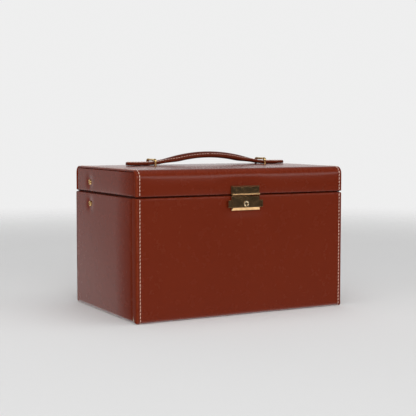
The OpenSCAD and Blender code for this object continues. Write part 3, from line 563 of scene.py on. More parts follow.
# Closed outline of the padded front board at every station along X, drawn in at the ends by a quarter circle whose
# radius differs from side to side
def makeFrontLeather():
    s = frontShell
    x, turn = endStations(s["steps"], sideX - np.append(closeStations[:-1], s["lastIn"]), s["turnSteps"])
    allX, points, worn = [], [], []
    for station, a in zip(x, turn):
        c = 1 - np.cos(a)
        yf, yi = bodyLow[1] + s["frontRound"] * c, bodyHigh[1] - s["grooveRound"] * c
        zt, zb = bodyHigh[2] - s["topRound"] * c, bodyLow[2] + s["bottomRound"] * c
        p, n, bend = cornerPath([(yi, zt), (yf, zt), (yf, zb), (yi, zb)],
                                [s["backEdge"], s["topEdge"], s["edge"] - s["frontRound"] * c, s["backEdge"]],
                                s["runs"], s["arcSteps"], closed=True)
        radius = (s["frontRound"] * n[:, 0] ** 2 * (n[:, 0] < 0) + s["grooveRound"] * n[:, 0] ** 2 * (n[:, 0] > 0)
                  + s["topRound"] * n[:, 1] ** 2 * (n[:, 1] > 0) + s["bottomRound"] * n[:, 1] ** 2 * (n[:, 1] < 0))
        px = np.full(len(p), station) if np.isfinite(station) else sideX - radius * (1 - np.sin(a))
        allX.append(px)
        points.append(p)
        worn.append(s["wearEnd"] * np.sin(2 * a) * (n[:, 0] < 0.5) + s["wearBend"] * bend * (n[:, 1] > 0))
    allX, points, worn = np.array(allX), np.array(points), np.array(worn)
    count = len(x)
    allX, y, z, worn = (mirrorRows(a) for a in (allX, points[..., 0], points[..., 1], worn))
    allX[:count - 1] *= -1
    atEnd = smoothStep(np.abs(allX), sideX - s["curveIn"][0], sideX - s["curveIn"][1])
    y = bodyLow[1] + (y - bodyLow[1]) * (1 + atEnd * (bandShare(z) - 1))
    y = y - frontShare(y, bodyLow[1]) * (frontBulge(allX, z) - stitchDip(allX, s))
    return makePiece("frontLeather", np.stack([allX, y, z], -1).reshape(-1, 3), tubeFaces(*allX.shape),
                     finishes["leather"], "leather", "case_body", ["front_leather", "front_padding"],
                     {"wear": worn.ravel()}, s["sharp"], (np.abs(allX) > sideX - s["mattIn"]).ravel())


# Positions over an edge roll, a middle and another edge roll, with how far each lies into its roll, from -1 to 1
def rollSteps(low, high, lowRoll, highRoll, edge, middle):
    t = np.sin(np.linspace(0, np.pi / 2, edge + 1))
    base = np.concatenate([np.full(edge, low + lowRoll), np.linspace(low + lowRoll, high - highRoll, middle),
                           np.full(edge, high - highRoll)])
    into = np.concatenate([-t[:0:-1], np.zeros(middle), t[1:]])
    return base, into


# Padded panel: height is an ellipse over the rolled edges, the corners' squares are mapped to quarter discs, and
# the middle swells a little. Gives the in-plane positions and the height, all as grids, with the edge share.
def padSurface(lowA, highA, lowB, highB, rolls, depth, swell, middles, edge=8):
    baseA, intoA = rollSteps(lowA, highA, rolls[0], rolls[1], edge, middles[0])
    baseB, intoB = rollSteps(lowB, highB, rolls[2], rolls[3], edge, middles[1])
    a, b = np.meshgrid(intoA, intoB, indexing="ij")
    discA, discB = a * np.sqrt(1 - b ** 2 / 2), b * np.sqrt(1 - a ** 2 / 2)
    share = np.sqrt(np.clip(discA ** 2 + discB ** 2, 0, 1))
    posA = baseA[:, None] + discA * np.where(a < 0, rolls[0], rolls[1])
    posB = baseB[None] + discB * np.where(b < 0, rolls[2], rolls[3])
    u = (posA - lowA) / (highA - lowA) * 2 - 1
    v = (posB - lowB) / (highB - lowB) * 2 - 1
    height = depth * np.sqrt(np.clip(1 - share ** 2, 0, 1)) + swell * np.clip((1 - u ** 2) * (1 - v ** 2), 0, 1)
    return posA, posB, height, share


# The rim of a grid as one ring, in order
def rimOf(rows, cols):
    index = np.arange(rows * cols).reshape(rows, cols)
    return np.concatenate([index[0], index[1:, -1], index[-1, -2::-1], index[-2:0:-1, 0]])[None]


sidePanels = {"depth": 3.0, "swell": 0.6, "dimple": 1.1, "dimpleReach": 7.0, "slope": 2.3, "slopeReach": 42.0,
              "curveReach": 30, "bodyRolls": (6.5, 2.6, 3.2, 1.7), "lidRolls": (4.0, 3.0, 1.3, 1.6),
              "bodySteps": (80, 66), "lidSteps": (80, 14), "wear": 0.25, "sharp": 60}


# Padded end panel on the left or right, with a dimple where its rivet draws it in
def makeSidePanel(name, side, low, high, rolls, rivet, middles, body, node, curved):
    y, z, height, share = padSurface(low[1], high[1], low[2], high[2], rolls, sidePanels["depth"],
                                     sidePanels["swell"], middles)
    away = (y - rivet[1]) ** 2 + (z - rivet[2]) ** 2
    height = height - sidePanels["dimple"] * np.exp(-away / sidePanels["dimpleReach"] ** 2)
    front = np.clip(1 - (y - low[1]) / sidePanels["slopeReach"], 0, 1)    # the padding thins out towards the front
    risen = np.clip(height / sidePanels["depth"], 0, 1)
    height = height - sidePanels["slope"] * front ** 2 * np.sqrt(risen)
    if curved:    # the front edge follows the narrowing band of the front leather
        width = bodyHigh[1] - bodyLow[1]
        y = y - (1 - bandShare(z)) * width * smoothStep(-y, -low[1] - sidePanels["curveReach"], -low[1])
    points = np.stack([side * (sideX - sidePanels["depth"] + height), y, z], -1).reshape(-1, 3)
    rows, cols = height.shape
    wear = sidePanels["wear"] * share ** 4
    return makePiece(name, points, [gridQuads(rows, cols), rimOf(rows, cols)[:, ::-1]], finishes["side_leather"],
                     "side_leather", body, [node], {"wear": wear.ravel()}, sidePanels["sharp"])


backPanel = {"rolls": (1.6, 1.6, 2.4, 1.4), "swell": 0.0, "steps": (40, 24), "wear": 0.6, "sharp": 60}


# Flat leather on the back, its edges turned in
def makeBackLeather():
    x, z, height, share = padSurface(backLow[0], backHigh[0], backLow[2], backHigh[2], backPanel["rolls"],
                                     backHigh[1] - backLow[1], backPanel["swell"], backPanel["steps"])
    points = np.stack([x, backLow[1] + height, z], -1).reshape(-1, 3)
    rows, cols = height.shape
    return makePiece("backLeather", points, [gridQuads(rows, cols), rimOf(rows, cols)[:, ::-1]],
                     finishes["leather"], "leather", "case_body", ["back_leather"],
                     {"wear": (backPanel["wear"] * share ** 4).ravel()}, backPanel["sharp"])


makeLidLeather()
makeFrontLeather()
makeBackLeather()
for side, word in ((-1, "left"), (1, "right")):
    makeSidePanel(word + "Panel", side, panelLow, panelHigh, sidePanels["bodyRolls"], bodyRivet,
                  sidePanels["bodySteps"], "case_body", word + "_panel", True)
    makeSidePanel(word + "LidPanel", side, lidPanelLow, lidPanelHigh, sidePanels["lidRolls"], lidRivet,
                  sidePanels["lidSteps"], "lid", "lid_" + word + "_panel", False)
print("leather shell is made")


stitching = {"pitch": 3.8, "length": 3.0, "radius": 0.5, "thin": 0.55, "lift": 0.45, "sink": 0.35, "slant": 7.0,
             "look": 0.3, "rings": 6, "sides": 6}


# Stitches along a path with its normals: each is a short tube that rises from the leather and sinks back, thicker in
# the middle, a little slanted to the path
def stitchRun(path, normals, spec):
    steps = np.linalg.norm(np.diff(path, axis=0), axis=1)
    length = np.concatenate([[0], np.cumsum(steps)])
    count = max(int(round(length[-1] / spec["pitch"])), 1)
    t = np.linspace(0, 1, spec["rings"])
    start = (np.arange(count) + 0.5) * length[-1] / count - spec["length"] / 2
    at = np.clip(start[:, None] + t[None] * spec["length"], 0, length[-1])

    def along(place, values):
        return np.stack([np.interp(place, length, values[:, i]) for i in range(3)], -1)

    centre, up = along(at, path), along(at, normals)
    ahead = along(at + spec["look"], path) - along(at - spec["look"], path)
    up /= np.linalg.norm(up, axis=-1, keepdims=True)
    ahead /= np.linalg.norm(ahead, axis=-1, keepdims=True)
    across = np.cross(ahead, up)
    arch = np.sin(np.pi * t) ** 0.7
    centre = (centre + up * (spec["lift"] * arch - spec["sink"])[None, :, None]
              + across * ((t - 0.5) * spec["length"] * math.tan(math.radians(spec["slant"])))[None, :, None])
    radius = spec["radius"] * (spec["thin"] + (1 - spec["thin"]) * np.sin(np.pi * t) ** 0.5)
    angle = np.arange(spec["sides"]) * 2 * np.pi / spec["sides"]
    ring = (across[:, :, None] * np.cos(angle)[None, None, :, None] + up[:, :, None]
            * np.sin(angle)[None, None, :, None]) * radius[None, :, None, None]
    points = centre[:, :, None] + ring
    first = (np.arange(count) * spec["rings"] * spec["sides"])[:, None, None]
    faces = [(f[None] + first).reshape(-1, f.shape[1]) for f in tubeFaces(spec["rings"], spec["sides"])]
    marks = {"along": np.broadcast_to(t[None, :, None], points.shape[:3]).ravel(),
             "around": np.broadcast_to((angle / (2 * np.pi))[None, None], points.shape[:3]).ravel()}
    return points.reshape(-1, 3), faces, marks


# One piece from several runs of stitches
def makeStitches(name, runs, body, spec=stitching):
    made = [stitchRun(path, normals, spec) for path, normals in runs]
    points, faces = joinShapes([shape[:2] for shape in made])
    marks = {key: np.concatenate([shape[2][key] for shape in made]) for key in ("along", "around")}
    return makePiece(name, points, faces, thread, None, body, (), marks)


# Path at X along an outline in Y and Z, with its normals
def outlinePath(x, points, normals):
    column = np.full((len(points), 1), x)
    return np.hstack([column, points]), np.hstack([np.zeros((len(points), 1)), normals])


top = lidHigh[2] - lidShell["crown"]
lidPath, lidNormals, _ = cornerPath(
    [(lidHigh[1], lidLow[2] + 1), (lidHigh[1], top), (lidLow[1], top), (lidLow[1], lidLow[2] + 1)],
    [0, lidShell["edge"], lidShell["edge"], 0], [20, 80, 20], 12)
frontPath, frontNormals, _ = cornerPath(
    [(bodyLow[1], bodyHigh[2] - 1), (bodyLow[1], bodyLow[2]), (bodyHigh[1] - 1, bodyLow[2])],
    [0, frontShell["edge"], 0], [100, 4], 12)
stitchX = sideX - lidShell["stitchIn"]
makeStitches("lidStitches", [outlinePath(s * stitchX, lidPath, lidNormals) for s in (-1, 1)], "lid")
makeStitches("frontStitches", [outlinePath(s * stitchX, frontPath, frontNormals) for s in (-1, 1)], "case_body")
backLine = np.array([[backHigh[1], backHigh[2] - 1.5], [backHigh[1], backLow[2] + 2]])
backNormal = np.array([[1.0, 0], [1.0, 0]])
makeStitches("backStitches", [outlinePath(s * stitchX, backLine, backNormal) for s in (-1, 1)], "case_body")
print("stitches are made")


strap = {"half": 1.8, "flange": 2.2, "domeUp": 2.5, "domeDown": 0.3, "domeHalf": 6.6, "domeFade": (38, 66),
         "tabFrom": 84.0, "tabFade": 3, "tipRound": 1.8, "soften": 1.2, "stitchIn": 1.8, "wear": 0.8, "sides": 48,
         "blend": (68, 40), "blendZ": 165, "sharp": 60}
strapStitching = dict(stitching, pitch=3.4, length=2.6, radius=0.42, lift=0.4)
tipX, tabR, stripTop = boxOf("right_strap_end")[1]
stripHalf, gripRise = boxOf("grip")[1][1], boxOf("grip")[1][2] - stripTop
tabX, gripX = tipX - tabR, 66.0


# Half width of the strap: narrow over the grip, wider at the tab, a half circle at its tip
def strapHalfWidth(x):
    wide = stripHalf + (tabR - stripHalf) * smoothStep(x, strap["tabFrom"] - strap["tabFade"], strap["tabFrom"])
    tip = np.sqrt(np.clip(1 - (np.clip(x - tabX, 0, tabR) / tabR) ** 2, 0, 1))
    return wide * tip


# 1 where the strap is padded, fading to 0 towards the loops
def domeShare(x):
    return 1 - smoothStep(x, *strap["domeFade"])


def strapThick(x):
    return strap["half"] + (strap["flange"] - strap["half"]) * domeShare(x)


# Line of the strap's middle: a parabola over the grip that runs out flat beyond the loops
def strapLine(x):
    rise = gripRise * (1 - (x / gripX) ** 2)
    topZ = stripTop + strap["soften"] * np.logaddexp(0, rise / strap["soften"])
    return topZ - strapThick(x) - domeShare(x) * strap["domeUp"]


# Height over the middle line on the upper and lower side, for y as a share of the half width: a squared-off ellipse
# with a rounded dome where the grip is padded
def strapUpper(x, y, share):
    dome = np.clip(1 - (y / strap["domeHalf"]) ** 2, 0, 1) ** 1.5 * domeShare(x)
    edge = np.clip(1 - np.abs(share) ** 8, 0, 1) ** 0.45
    return strapThick(x) * edge + strap["domeUp"] * dome, strapThick(x) * edge + strap["domeDown"] * dome


# Rings across the strap from its tip to the middle of the grip
def makeHandleHalf(side, word):
    angle = np.linspace(np.radians(4), np.pi / 2, 16)
    x = np.concatenate([tabX + tabR * np.cos(angle), np.linspace(tabX, 0, 64)[1:]])
    half = strapHalfWidth(x)
    turn = np.linspace(0, 2 * np.pi, strap["sides"] + 1)[:-1]
    share = np.sign(np.cos(turn)) * np.abs(np.cos(turn)) ** 0.7
    y = half[:, None] * share[None]
    up, down = strapUpper(x[:, None], y, share[None])
    tipRound = np.sqrt(np.clip(1 - np.clip(1 - (tipX - x) / strap["tipRound"], 0, 1) ** 2, 0.02, 1))[:, None]
    lift = np.where(np.sin(turn) >= 0, up, -down) * tipRound
    slope = np.gradient(strapLine(x), x)[:, None]
    norm = np.sqrt(1 + slope ** 2)
    px = x[:, None] - lift * slope / norm
    pz = strapLine(x)[:, None] + lift / norm
    points = np.stack([side * px, y, pz], -1)
    points[-1, :, 0] = 0
    worn = strap["wear"] * np.abs(share[None]) ** 8 + 0 * y
    body = word + "_strap_end"
    piece = makePiece(word + "Handle", points.reshape(-1, 3), tubeFaces(*y.shape), finishes["strap_leather"],
                      "strap_leather", None, [body, "grip"], {"wear": worn.ravel()}, strap["sharp"])
    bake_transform(piece)
    # stitches run along both edges and round the tip
    lineX = np.concatenate([np.linspace(1.0, tabX, 60), tabX + (tabR - strap["stitchIn"])
                            * np.cos(np.linspace(np.pi / 2, 0, 13)[1:])])
    lineY = np.concatenate([strapHalfWidth(lineX[:60]) - strap["stitchIn"],
                            (tabR - strap["stitchIn"]) * np.sin(np.linspace(np.pi / 2, 0, 13)[1:])])
    lineX, lineY = np.concatenate([lineX, lineX[-2::-1]]), np.concatenate([lineY, -lineY[-2::-1]])
    lift = strapUpper(lineX, lineY, np.full(len(lineX), 0.75))[0]
    slope = np.interp(lineX, x[::-1], slope[::-1, 0])
    norm = np.sqrt(1 + slope ** 2)
    path = np.stack([side * (lineX - lift * slope / norm), lineY, strapLine(lineX) + lift / norm], -1)
    normals = np.stack([-side * slope / norm, 0 * norm, 1 / norm], -1)
    sewn = makeStitches(word + "HandleStitches", [(path, normals)], None, strapStitching)
    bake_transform(sewn)


makeHandleHalf(-1, "left")
makeHandleHalf(1, "right")

loops = {"radius": 1.2, "corner": 1.75, "bend": 2.4, "sides": 16, "sharp": 60}


# Round wire carried along a path up one leg, over the strap and down the other, fuller at the bends
def makeLoop(word):
    low, high = boxOf(word + "_loop")
    x = (low[0] + high[0]) / 2
    reach, bar = high[1] - loops["radius"], high[2] - loops["radius"]
    path, side, bend = cornerPath([(reach, low[2]), (reach, bar), (-reach, bar), (-reach, low[2])],
                                  [0, loops["bend"], loops["bend"], 0], [6, 8, 6], 8)
    spread = np.convolve(np.pad(bend, 2, mode="edge"), np.ones(5) / 5, "valid")
    radius = loops["radius"] + (loops["corner"] - loops["radius"]) * spread
    angle = np.arange(loops["sides"]) * 2 * np.pi / loops["sides"]
    points = np.stack([x + radius[:, None] * np.sin(angle)[None],
                       path[:, :1] + radius[:, None] * side[:, :1] * np.cos(angle),
                       path[:, 1:] + radius[:, None] * side[:, 1:] * np.cos(angle)], -1)
    return makePiece(word + "Loop", points.reshape(-1, 3), tubeFaces(*points.shape[:2]), finishes["brass"],
                     "brass", "lid", [word + "_loop"], None, loops["sharp"])


makeLoop("left")
makeLoop("right")
print("handle is made")


# A turned part: a profile of radius and place along X, carried round the axis
def turned(profile, centre, side, steps=32):
    profile = np.array(profile, float)
    angle = np.arange(steps) * 2 * np.pi / steps
    points = np.stack([side * np.broadcast_to(profile[:, 1:], (len(profile), steps)),
                       centre[1] + profile[:, :1] * np.cos(angle),
                       centre[2] + profile[:, :1] * np.sin(angle)], -1)
    faces = tubeFaces(len(profile), steps)
    return points.reshape(-1, 3), faces if side > 0 else [f[:, ::-1] for f in faces]


rivets = {"headR": 3.1, "headH": 1.0, "sunk": 0.55, "hole": 1.9, "holeEase": 0.1, "well": 3.0, "shank": 1.9,
          "innerHead": 3.1, "innerThick": 0.8, "axis": 0.01, "play": 0.05, "sharp": 50}


# Rivet with a rolled ring about a hollow, a shank, and a flat head inside
def makeRivets(name, centre, innerX, body, node):
    r = rivets
    turn = np.linspace(0, np.pi, 11)
    ringMid, ringHalf = (r["headR"] + r["hole"]) / 2, (r["headR"] - r["hole"]) / 2
    base = sideX - r["sunk"]
    profile = [(r["axis"], base - r["well"]), (r["hole"] - r["holeEase"], base - r["well"])]
    profile += [(ringMid - ringHalf * math.cos(a), base + r["headH"] * math.sin(a) ** 0.8) for a in turn]
    profile += [(r["shank"], base - r["holeEase"]), (r["shank"], innerX), (r["innerHead"], innerX),
                (r["innerHead"], innerX - r["innerThick"]), (r["axis"], innerX - r["innerThick"])]
    points, faces = joinShapes([turned(profile, centre, side) for side in (-1, 1)])
    return makePiece(name, points, faces, finishes["brass"], "brass", body, [node], None, r["sharp"])


makeRivets("bodyRivets", bodyRivet, boxOf("right_arm")[0][0] - rivets["play"], "case_body", "arm_rivets")
makeRivets("lidRivets", lidRivet, boxOf("right_bracket")[0][0] - rivets["play"], "lid", "bracket_rivets")


merging = {"distance": 2e-6, "flat": 1, "sharp": 12, "segments": 3}    # metres, degrees, degrees


# A copy of a CAD node with its loose triangles merged
def mergedCopy(node):
    words = node.split("_")
    name = words[0] + "".join(word.title() for word in words[1:])
    source = frame["nodes"][node]
    mesh = bpy.data.meshes.new(name)
    shell = bmesh.new()
    shell.from_mesh(source.data)
    bmesh.ops.remove_doubles(shell, verts=shell.verts, dist=merging["distance"])
    bmesh.ops.dissolve_limit(shell, angle_limit=math.radians(merging["flat"]), verts=shell.verts, edges=shell.edges)
    shell.to_mesh(mesh)
    shell.free()
    mesh.materials.append(finishes[slotOf[node]])
    mesh.shade_smooth()
    mesh.set_sharp_from_angle(angle=math.radians(merging["sharp"]))
    return placeMesh(name, mesh, source["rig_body"], [node])


# Width of the bevel on each copy's sharp edges
rounding = {"lock_cover": 0.18, "hasp_plate": 0.22, "slide_bar": 0.2, "lock_back_plate": 0.1,
            "left_arm": 0.25, "right_arm": 0.25, "left_bracket": 0.25, "right_bracket": 0.25,
            "body_hinge_leaf": 0.15, "lid_hinge_leaf": 0.15, "mirror_frame": 0.35, "tray_walls": 0.8,
            "tray_dividers": 0.7, "rear_divider": 0.9, "well_dividers": 0.9, "pillow_shelf": 0.8,
            "floor_pad": 0.8, "base_cover": 0.6}
for node, width in rounding.items():
    edges = mergedCopy(node).modifiers.new("round", "BEVEL")
    edges.width, edges.segments, edges.limit_method = width * mm, merging["segments"], "ANGLE"
    edges.angle_limit = math.radians(merging["sharp"])
    edges.harden_normals = True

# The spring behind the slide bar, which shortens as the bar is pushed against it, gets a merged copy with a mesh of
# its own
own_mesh(mergedCopy("lock_spring"))

escutcheon = {"outer": 3.0, "inner": 1.75, "rise": 0.75, "sunk": 0.3, "slot": 17.0, "steps": (57, 9), "sharp": 40}


# Ring round the keyhole, open below where the key's bit passes: a half ellipse carried round from edge to edge
def makeEscutcheon():
    e = escutcheon
    low, high = boxOf("key_escutcheon")
    centre = (low + high) / 2
    around = np.radians(np.linspace(-90 + e["slot"], 270 - e["slot"], e["steps"][0]))
    across = np.linspace(0, np.pi, e["steps"][1])
    middle, half = (e["outer"] + e["inner"]) / 2, (e["outer"] - e["inner"]) / 2
    reach = np.concatenate([middle - half * np.cos(across), [e["outer"], e["inner"]]])
    rise = np.concatenate([e["rise"] * np.sin(across), [-e["sunk"], -e["sunk"]]])
    points = np.stack([centre[0] + reach[None] * np.cos(around)[:, None],
                       np.broadcast_to(high[1] - rise[None], (len(around), len(reach))),
                       centre[2] + reach[None] * np.sin(around)[:, None]], -1)
    makePiece("keyRing", points.reshape(-1, 3), tubeFaces(*points.shape[:2]), finishes["paleBrass"], "brass",
              "case_body", ["key_escutcheon"], None, e["sharp"])


makeEscutcheon()

screws = {"count": 5, "reach": 92, "radius": 2.3, "rise": 0.7, "dome": 0.75, "slot": 0.32, "slotDepth": 0.45,
          "slotReach": 0.9, "turn": 0.7, "leafT": 0.8, "sunk": 0.3, "edgeIn": 4.5, "sides": 40, "sharp": 30}


# Screw heads on a hinge leaf: domes on a polar grid, sunk along a slot that lies differently on each
def makeScrews(name, z, body):
    s, heads = screws, []
    radius = np.concatenate([[0.02], np.linspace(0.12, 1, 12), [1.0]])[:, None]    # shares of the head's radius
    angle = np.arange(s["sides"]) * 2 * np.pi / s["sides"]
    y = boxOf("body_hinge_leaf")[0][1] + s["leafT"]
    for k, x in enumerate(np.linspace(-s["reach"], s["reach"], s["count"])):
        across = radius * np.sin(angle - s["turn"] * k - z)
        slot = (np.abs(across) < s["slot"] / 2) * (radius < s["slotReach"]) * s["slotDepth"]
        height = s["rise"] * np.sqrt(np.clip(1 - s["dome"] * radius ** 2, 0, 1)) - slot
        height[-1] = -s["sunk"]
        points = np.stack([x + s["radius"] * radius * np.cos(angle), y + height,
                           z + s["radius"] * radius * np.sin(angle)], -1)
        heads.append((points.reshape(-1, 3), tubeFaces(*height.shape)))
    points, faces = joinShapes(heads)
    makePiece(name, points, faces, finishes["brass"], "brass", body, (), None, s["sharp"])


makeScrews("bodyScrews", boxOf("body_hinge_leaf")[0][2] + screws["edgeIn"], "case_body")
makeScrews("lidScrews", boxOf("lid_hinge_leaf")[1][2] - screws["edgeIn"], "lid")

welts = {"out": 1.7, "round": 0.3, "corners": (1.5, 0.5), "legSteps": 20, "arcSteps": 5, "overlap": 0.6, "sharp": 40}


# Rounded rectangle about the lid's middle, as points in X and Y
def roundedOutline(x, y0, y1, radius):
    corners = [(-x, y0), (x, y0), (x, y1), (-x, y1)]
    return cornerPath(corners, [radius] * 4, [welts["legSteps"]] * 4, welts["arcSteps"], closed=True)[0]


# Leather welt on a rim: a flat band between an outer and an inner rounded rectangle, its edges eased on z1's side. Its
# near-black leather is painted shade for the split between lid and body.
def makeWelt(name, z0, z1, lining, body, node):
    out, insideLow, insideHigh = welts["out"], *boxOf(lining)
    outer = roundedOutline(sideX - out, lidLow[1] + out, lidHigh[1] - out, welts["corners"][0])
    inner = roundedOutline(insideHigh[0], insideLow[1], insideHigh[1], welts["corners"][1])
    step = math.copysign(welts["round"], z1 - z0)
    share = np.array([0, 0, 0.05, 0.5, 0.95, 1, 1])
    height = np.array([z0, z1 - step, z1, z1, z1, z1 - step, z0])
    flat = outer[None] * (1 - share[:, None, None]) + inner[None] * share[:, None, None]
    points = np.concatenate([flat, np.broadcast_to(height[:, None, None], flat.shape[:2] + (1,))], -1)
    makePiece(name, points.reshape(-1, 3), [gridQuads(*flat.shape[:2], True, True)], finishes["welt"],
              "trim_leather", body, [node], None, welts["sharp"])


makeWelt("bodyWelt", bodyHigh[2] - welts["overlap"], boxOf("rim_binding")[1][2], "body_lining", "case_body",
         "rim_binding")
makeWelt("lidWelt", lidLow[2] + welts["overlap"], boxOf("lid_rim_binding")[0][2], "lid_lining", "lid",
         "lid_rim_binding")
print("metal and fittings are made")

pillow = {"count": 3, "gap": 1.0, "shrink": 2.4, "soft": 7.0, "power": 0.55, "steps": (24, 48), "voxel": 4.0,
          "pressure": 4.0, "frames": 20, "cap": 4.5, "inside": 0.25, "fill": 0.7, "seamIn": 5.0, "seamR": 0.55,
          "seamSteps": (72, 8), "seamReach": 3.2}
rolls = {"count": 6, "soft": 3.2, "power": 0.8, "steps": (60, 24), "gap": 0.1, "fill": 0.8, "waist": 0.05,
         "tacks": 5}


# Closed block: squared-off circles along X, drawn in towards both ends by a quarter circle
def roundedBlock(low, high, soft, rings, sides, power):
    low, high = np.array(low, float), np.array(high, float)
    middle, half = (low + high) / 2, (high - low) / 2
    turn = np.linspace(0.12, np.pi / 2, 7)
    inner = np.linspace(low[0] + soft, high[0] - soft, rings)[1:-1]
    x = np.concatenate([low[0] + soft * (1 - np.cos(turn)), inner, high[0] - soft * (1 - np.cos(turn[::-1]))])
    draw = np.concatenate([soft * (1 - np.sin(turn)), 0 * inner, soft * (1 - np.sin(turn[::-1]))])[:, None]
    angle = np.arange(sides) * 2 * np.pi / sides
    c, w = np.cos(angle), np.sin(angle)
    y = middle[1] + (half[1] - draw) * np.sign(c) * np.abs(c) ** power
    z = middle[2] + (half[2] - draw) * np.sign(w) * np.abs(w) ** power
    return np.stack([np.broadcast_to(x[:, None], y.shape), y, z], -1), tubeFaces(*y.shape)


# The mesh that an object's modifiers give, with its points in millimetres
def evaluatedMesh(piece):
    mesh = bpy.data.meshes.new_from_object(piece.evaluated_get(bpy.context.evaluated_depsgraph_get()))
    points = np.empty(len(mesh.vertices) * 3)
    mesh.vertices.foreach_get("co", points)
    return mesh, points.reshape(-1, 3) / mm


# Fills a pad by cloth simulation: pressure inside and no gravity. No point moves further than the cap, or out of
# the room that the pad has.
def inflate(piece, low, high, spec):
    even = piece.modifiers.new("even", "REMESH")
    even.mode, even.voxel_size = "VOXEL", spec["voxel"] * mm
    mesh, start = evaluatedMesh(piece)
    piece.modifiers.clear()
    piece.data = mesh
    cloth = piece.modifiers.new("fill", "CLOTH")
    cloth.settings.use_pressure = True
    cloth.settings.uniform_pressure_force = spec["pressure"]
    cloth.settings.effector_weights.gravity = 0
    cloth.point_cache.frame_end = spec["frames"]
    for step in range(1, spec["frames"] + 1):
        scene.frame_set(step)
    _, filled = evaluatedMesh(piece)
    piece.modifiers.clear()
    scene.frame_set(1)
    move = filled - start
    far = np.linalg.norm(move, axis=1, keepdims=True)
    points = start + move * np.minimum(1, spec["cap"] / np.maximum(far, 1e-6))
    points = np.clip(points, low + spec["inside"], high - spec["inside"])
    piece.data.vertices.foreach_set("co", (points * mm).ravel())
    piece.data.update()
    return points


# Piping round a pad at a station along X: it follows the pad's own outline there, read from its points by angle
def makePiping(name, points, x, low, high, body):
    middle, half = (low + high) / 2, (high - low) / 2
    near = points[np.abs(points[:, 0] - x) < pillow["seamReach"]]
    v, w = (near[:, 1] - middle[1]) / half[1], (near[:, 2] - middle[2]) / half[2]
    order = np.argsort(np.arctan2(w, v))
    steps, sides = pillow["seamSteps"]
    angle = np.arange(steps) * 2 * np.pi / steps
    reach = np.interp(angle, np.arctan2(w, v)[order], np.hypot(v, w)[order], period=2 * np.pi)
    reach = np.convolve(np.tile(reach, 3), np.ones(5) / 5, "same")[steps:2 * steps]
    path = np.stack([middle[1] + half[1] * reach * np.cos(angle), middle[2] + half[2] * reach * np.sin(angle)], -1)
    out = np.stack([np.cos(angle) / half[1], np.sin(angle) / half[2]], -1)
    out /= np.linalg.norm(out, axis=1, keepdims=True)
    turn = np.arange(sides) * 2 * np.pi / sides
    r = pillow["seamR"]
    ring = np.stack([x + r * np.broadcast_to(np.sin(turn), (steps, sides)),
                     path[:, :1] + r * out[:, :1] * np.cos(turn), path[:, 1:] + r * out[:, 1:] * np.cos(turn)], -1)
    makePiece(name, np.clip(ring, low, high).reshape(-1, 3), [gridQuads(steps, sides, True, True)],
              finishes["pillow_cloth"], "pillow_cloth", body)


# Three watch pillows side by side on the shelf: one is filled, the others are copies of it further along
def makePillows():
    low, high = boxOf("pillows")
    pitch = (high[0] - low[0] + pillow["gap"]) / pillow["count"]
    size = np.array([pitch - pillow["gap"], high[1] - low[1], high[2] - low[2]])
    inset = pillow["shrink"]
    grid, faces = roundedBlock(low + inset, low + size - inset, pillow["soft"], *pillow["steps"], pillow["power"])
    piece = makePiece("pillow1", grid.reshape(-1, 3), faces, finishes["pillow_cloth"], "pillow_cloth", "case_body",
                      ["pillows"])
    points = inflate(piece, low, low + size, pillow)
    for k in range(pillow["count"]):
        move = np.array([k * pitch, 0, 0])
        if k:
            mesh = piece.data.copy()
            mesh.vertices.foreach_set("co", ((points + move) * mm).ravel())
            piece = placeMesh("pillow%d" % (k + 1), mesh, "case_body", ["pillows"])
        smooth = piece.modifiers.new("smooth", "SUBSURF")
        smooth.levels = smooth.render_levels = 1
        piece.data.shade_smooth()
        for end, x in (("Left", low[0] + pillow["seamIn"]), ("Right", low[0] + size[0] - pillow["seamIn"])):
            makePiping("pillow%dSeam%s" % (k + 1, end), points + move, x + move[0], low + move, low + size + move,
                       "case_body")


# Ring rolls: long rounded pads side by side, waisted a little at the tacks that hold them down
def makeRolls():
    low, high = boxOf("ring_rolls")
    pitch = (high[1] - low[1]) / rolls["count"]
    made = []
    for k in range(rolls["count"]):
        a = np.array([low[0], low[1] + k * pitch + rolls["gap"] / 2, low[2]])
        b = np.array([high[0], low[1] + (k + 1) * pitch - rolls["gap"] / 2, high[2]])
        grid, faces = roundedBlock(a, b, rolls["soft"], *rolls["steps"], rolls["power"])
        along = (grid[..., 0] - low[0]) / (high[0] - low[0])
        waist = 1 - rolls["waist"] * np.cos(np.pi * rolls["tacks"] * along) ** 8
        middle = (a + b) / 2
        grid[..., 1] = middle[1] + (grid[..., 1] - middle[1]) * waist
        grid[..., 2] = low[2] + (grid[..., 2] - low[2]) * waist
        made.append((grid.reshape(-1, 3), faces))
    piece = makePiece("ringRolls", *joinShapes(made), finishes["pillow_cloth"], "pillow_cloth", "tray",
                      ["ring_rolls"])


makePillows()
makeRolls()
print("pillows and ring rolls are made")


# Metres and brightness. Under "where", each light of the sky fades in from the first to the second value of an axis;
# third and fourth values are the strengths there.
studio = {"floorSize": 8.0, "floorFade": (0.55, 1.7), "floorColour": 0.77, "seen": 0.86,
          "frontDark": 0.035, "strip": 4.0, "underFront": 0.50, "floorGlow": 1.5, "backGlow": 1.2,
          "rightGlow": 1.25, "overhead": 0.35,
          "where": {"backY": (0.80, 0.975), "backZ": (-0.07, -0.16, 0.62, 1.0), "rightY": (0.30, 0.80),
                    "rightX": (-0.10, 0.20), "rightZ": (0.08, 0.30, 1.0, 0.55), "overheadZ": (0.60, 0.95),
                    "stripLowZ": (0.18, 0.26), "stripHighZ": (0.44, 0.36), "stripY": (0.1, -0.4),
                    "underZ": (-0.12, -0.36), "underY": (0.60, 0.20), "floorZ": (-0.36, -0.68)}}


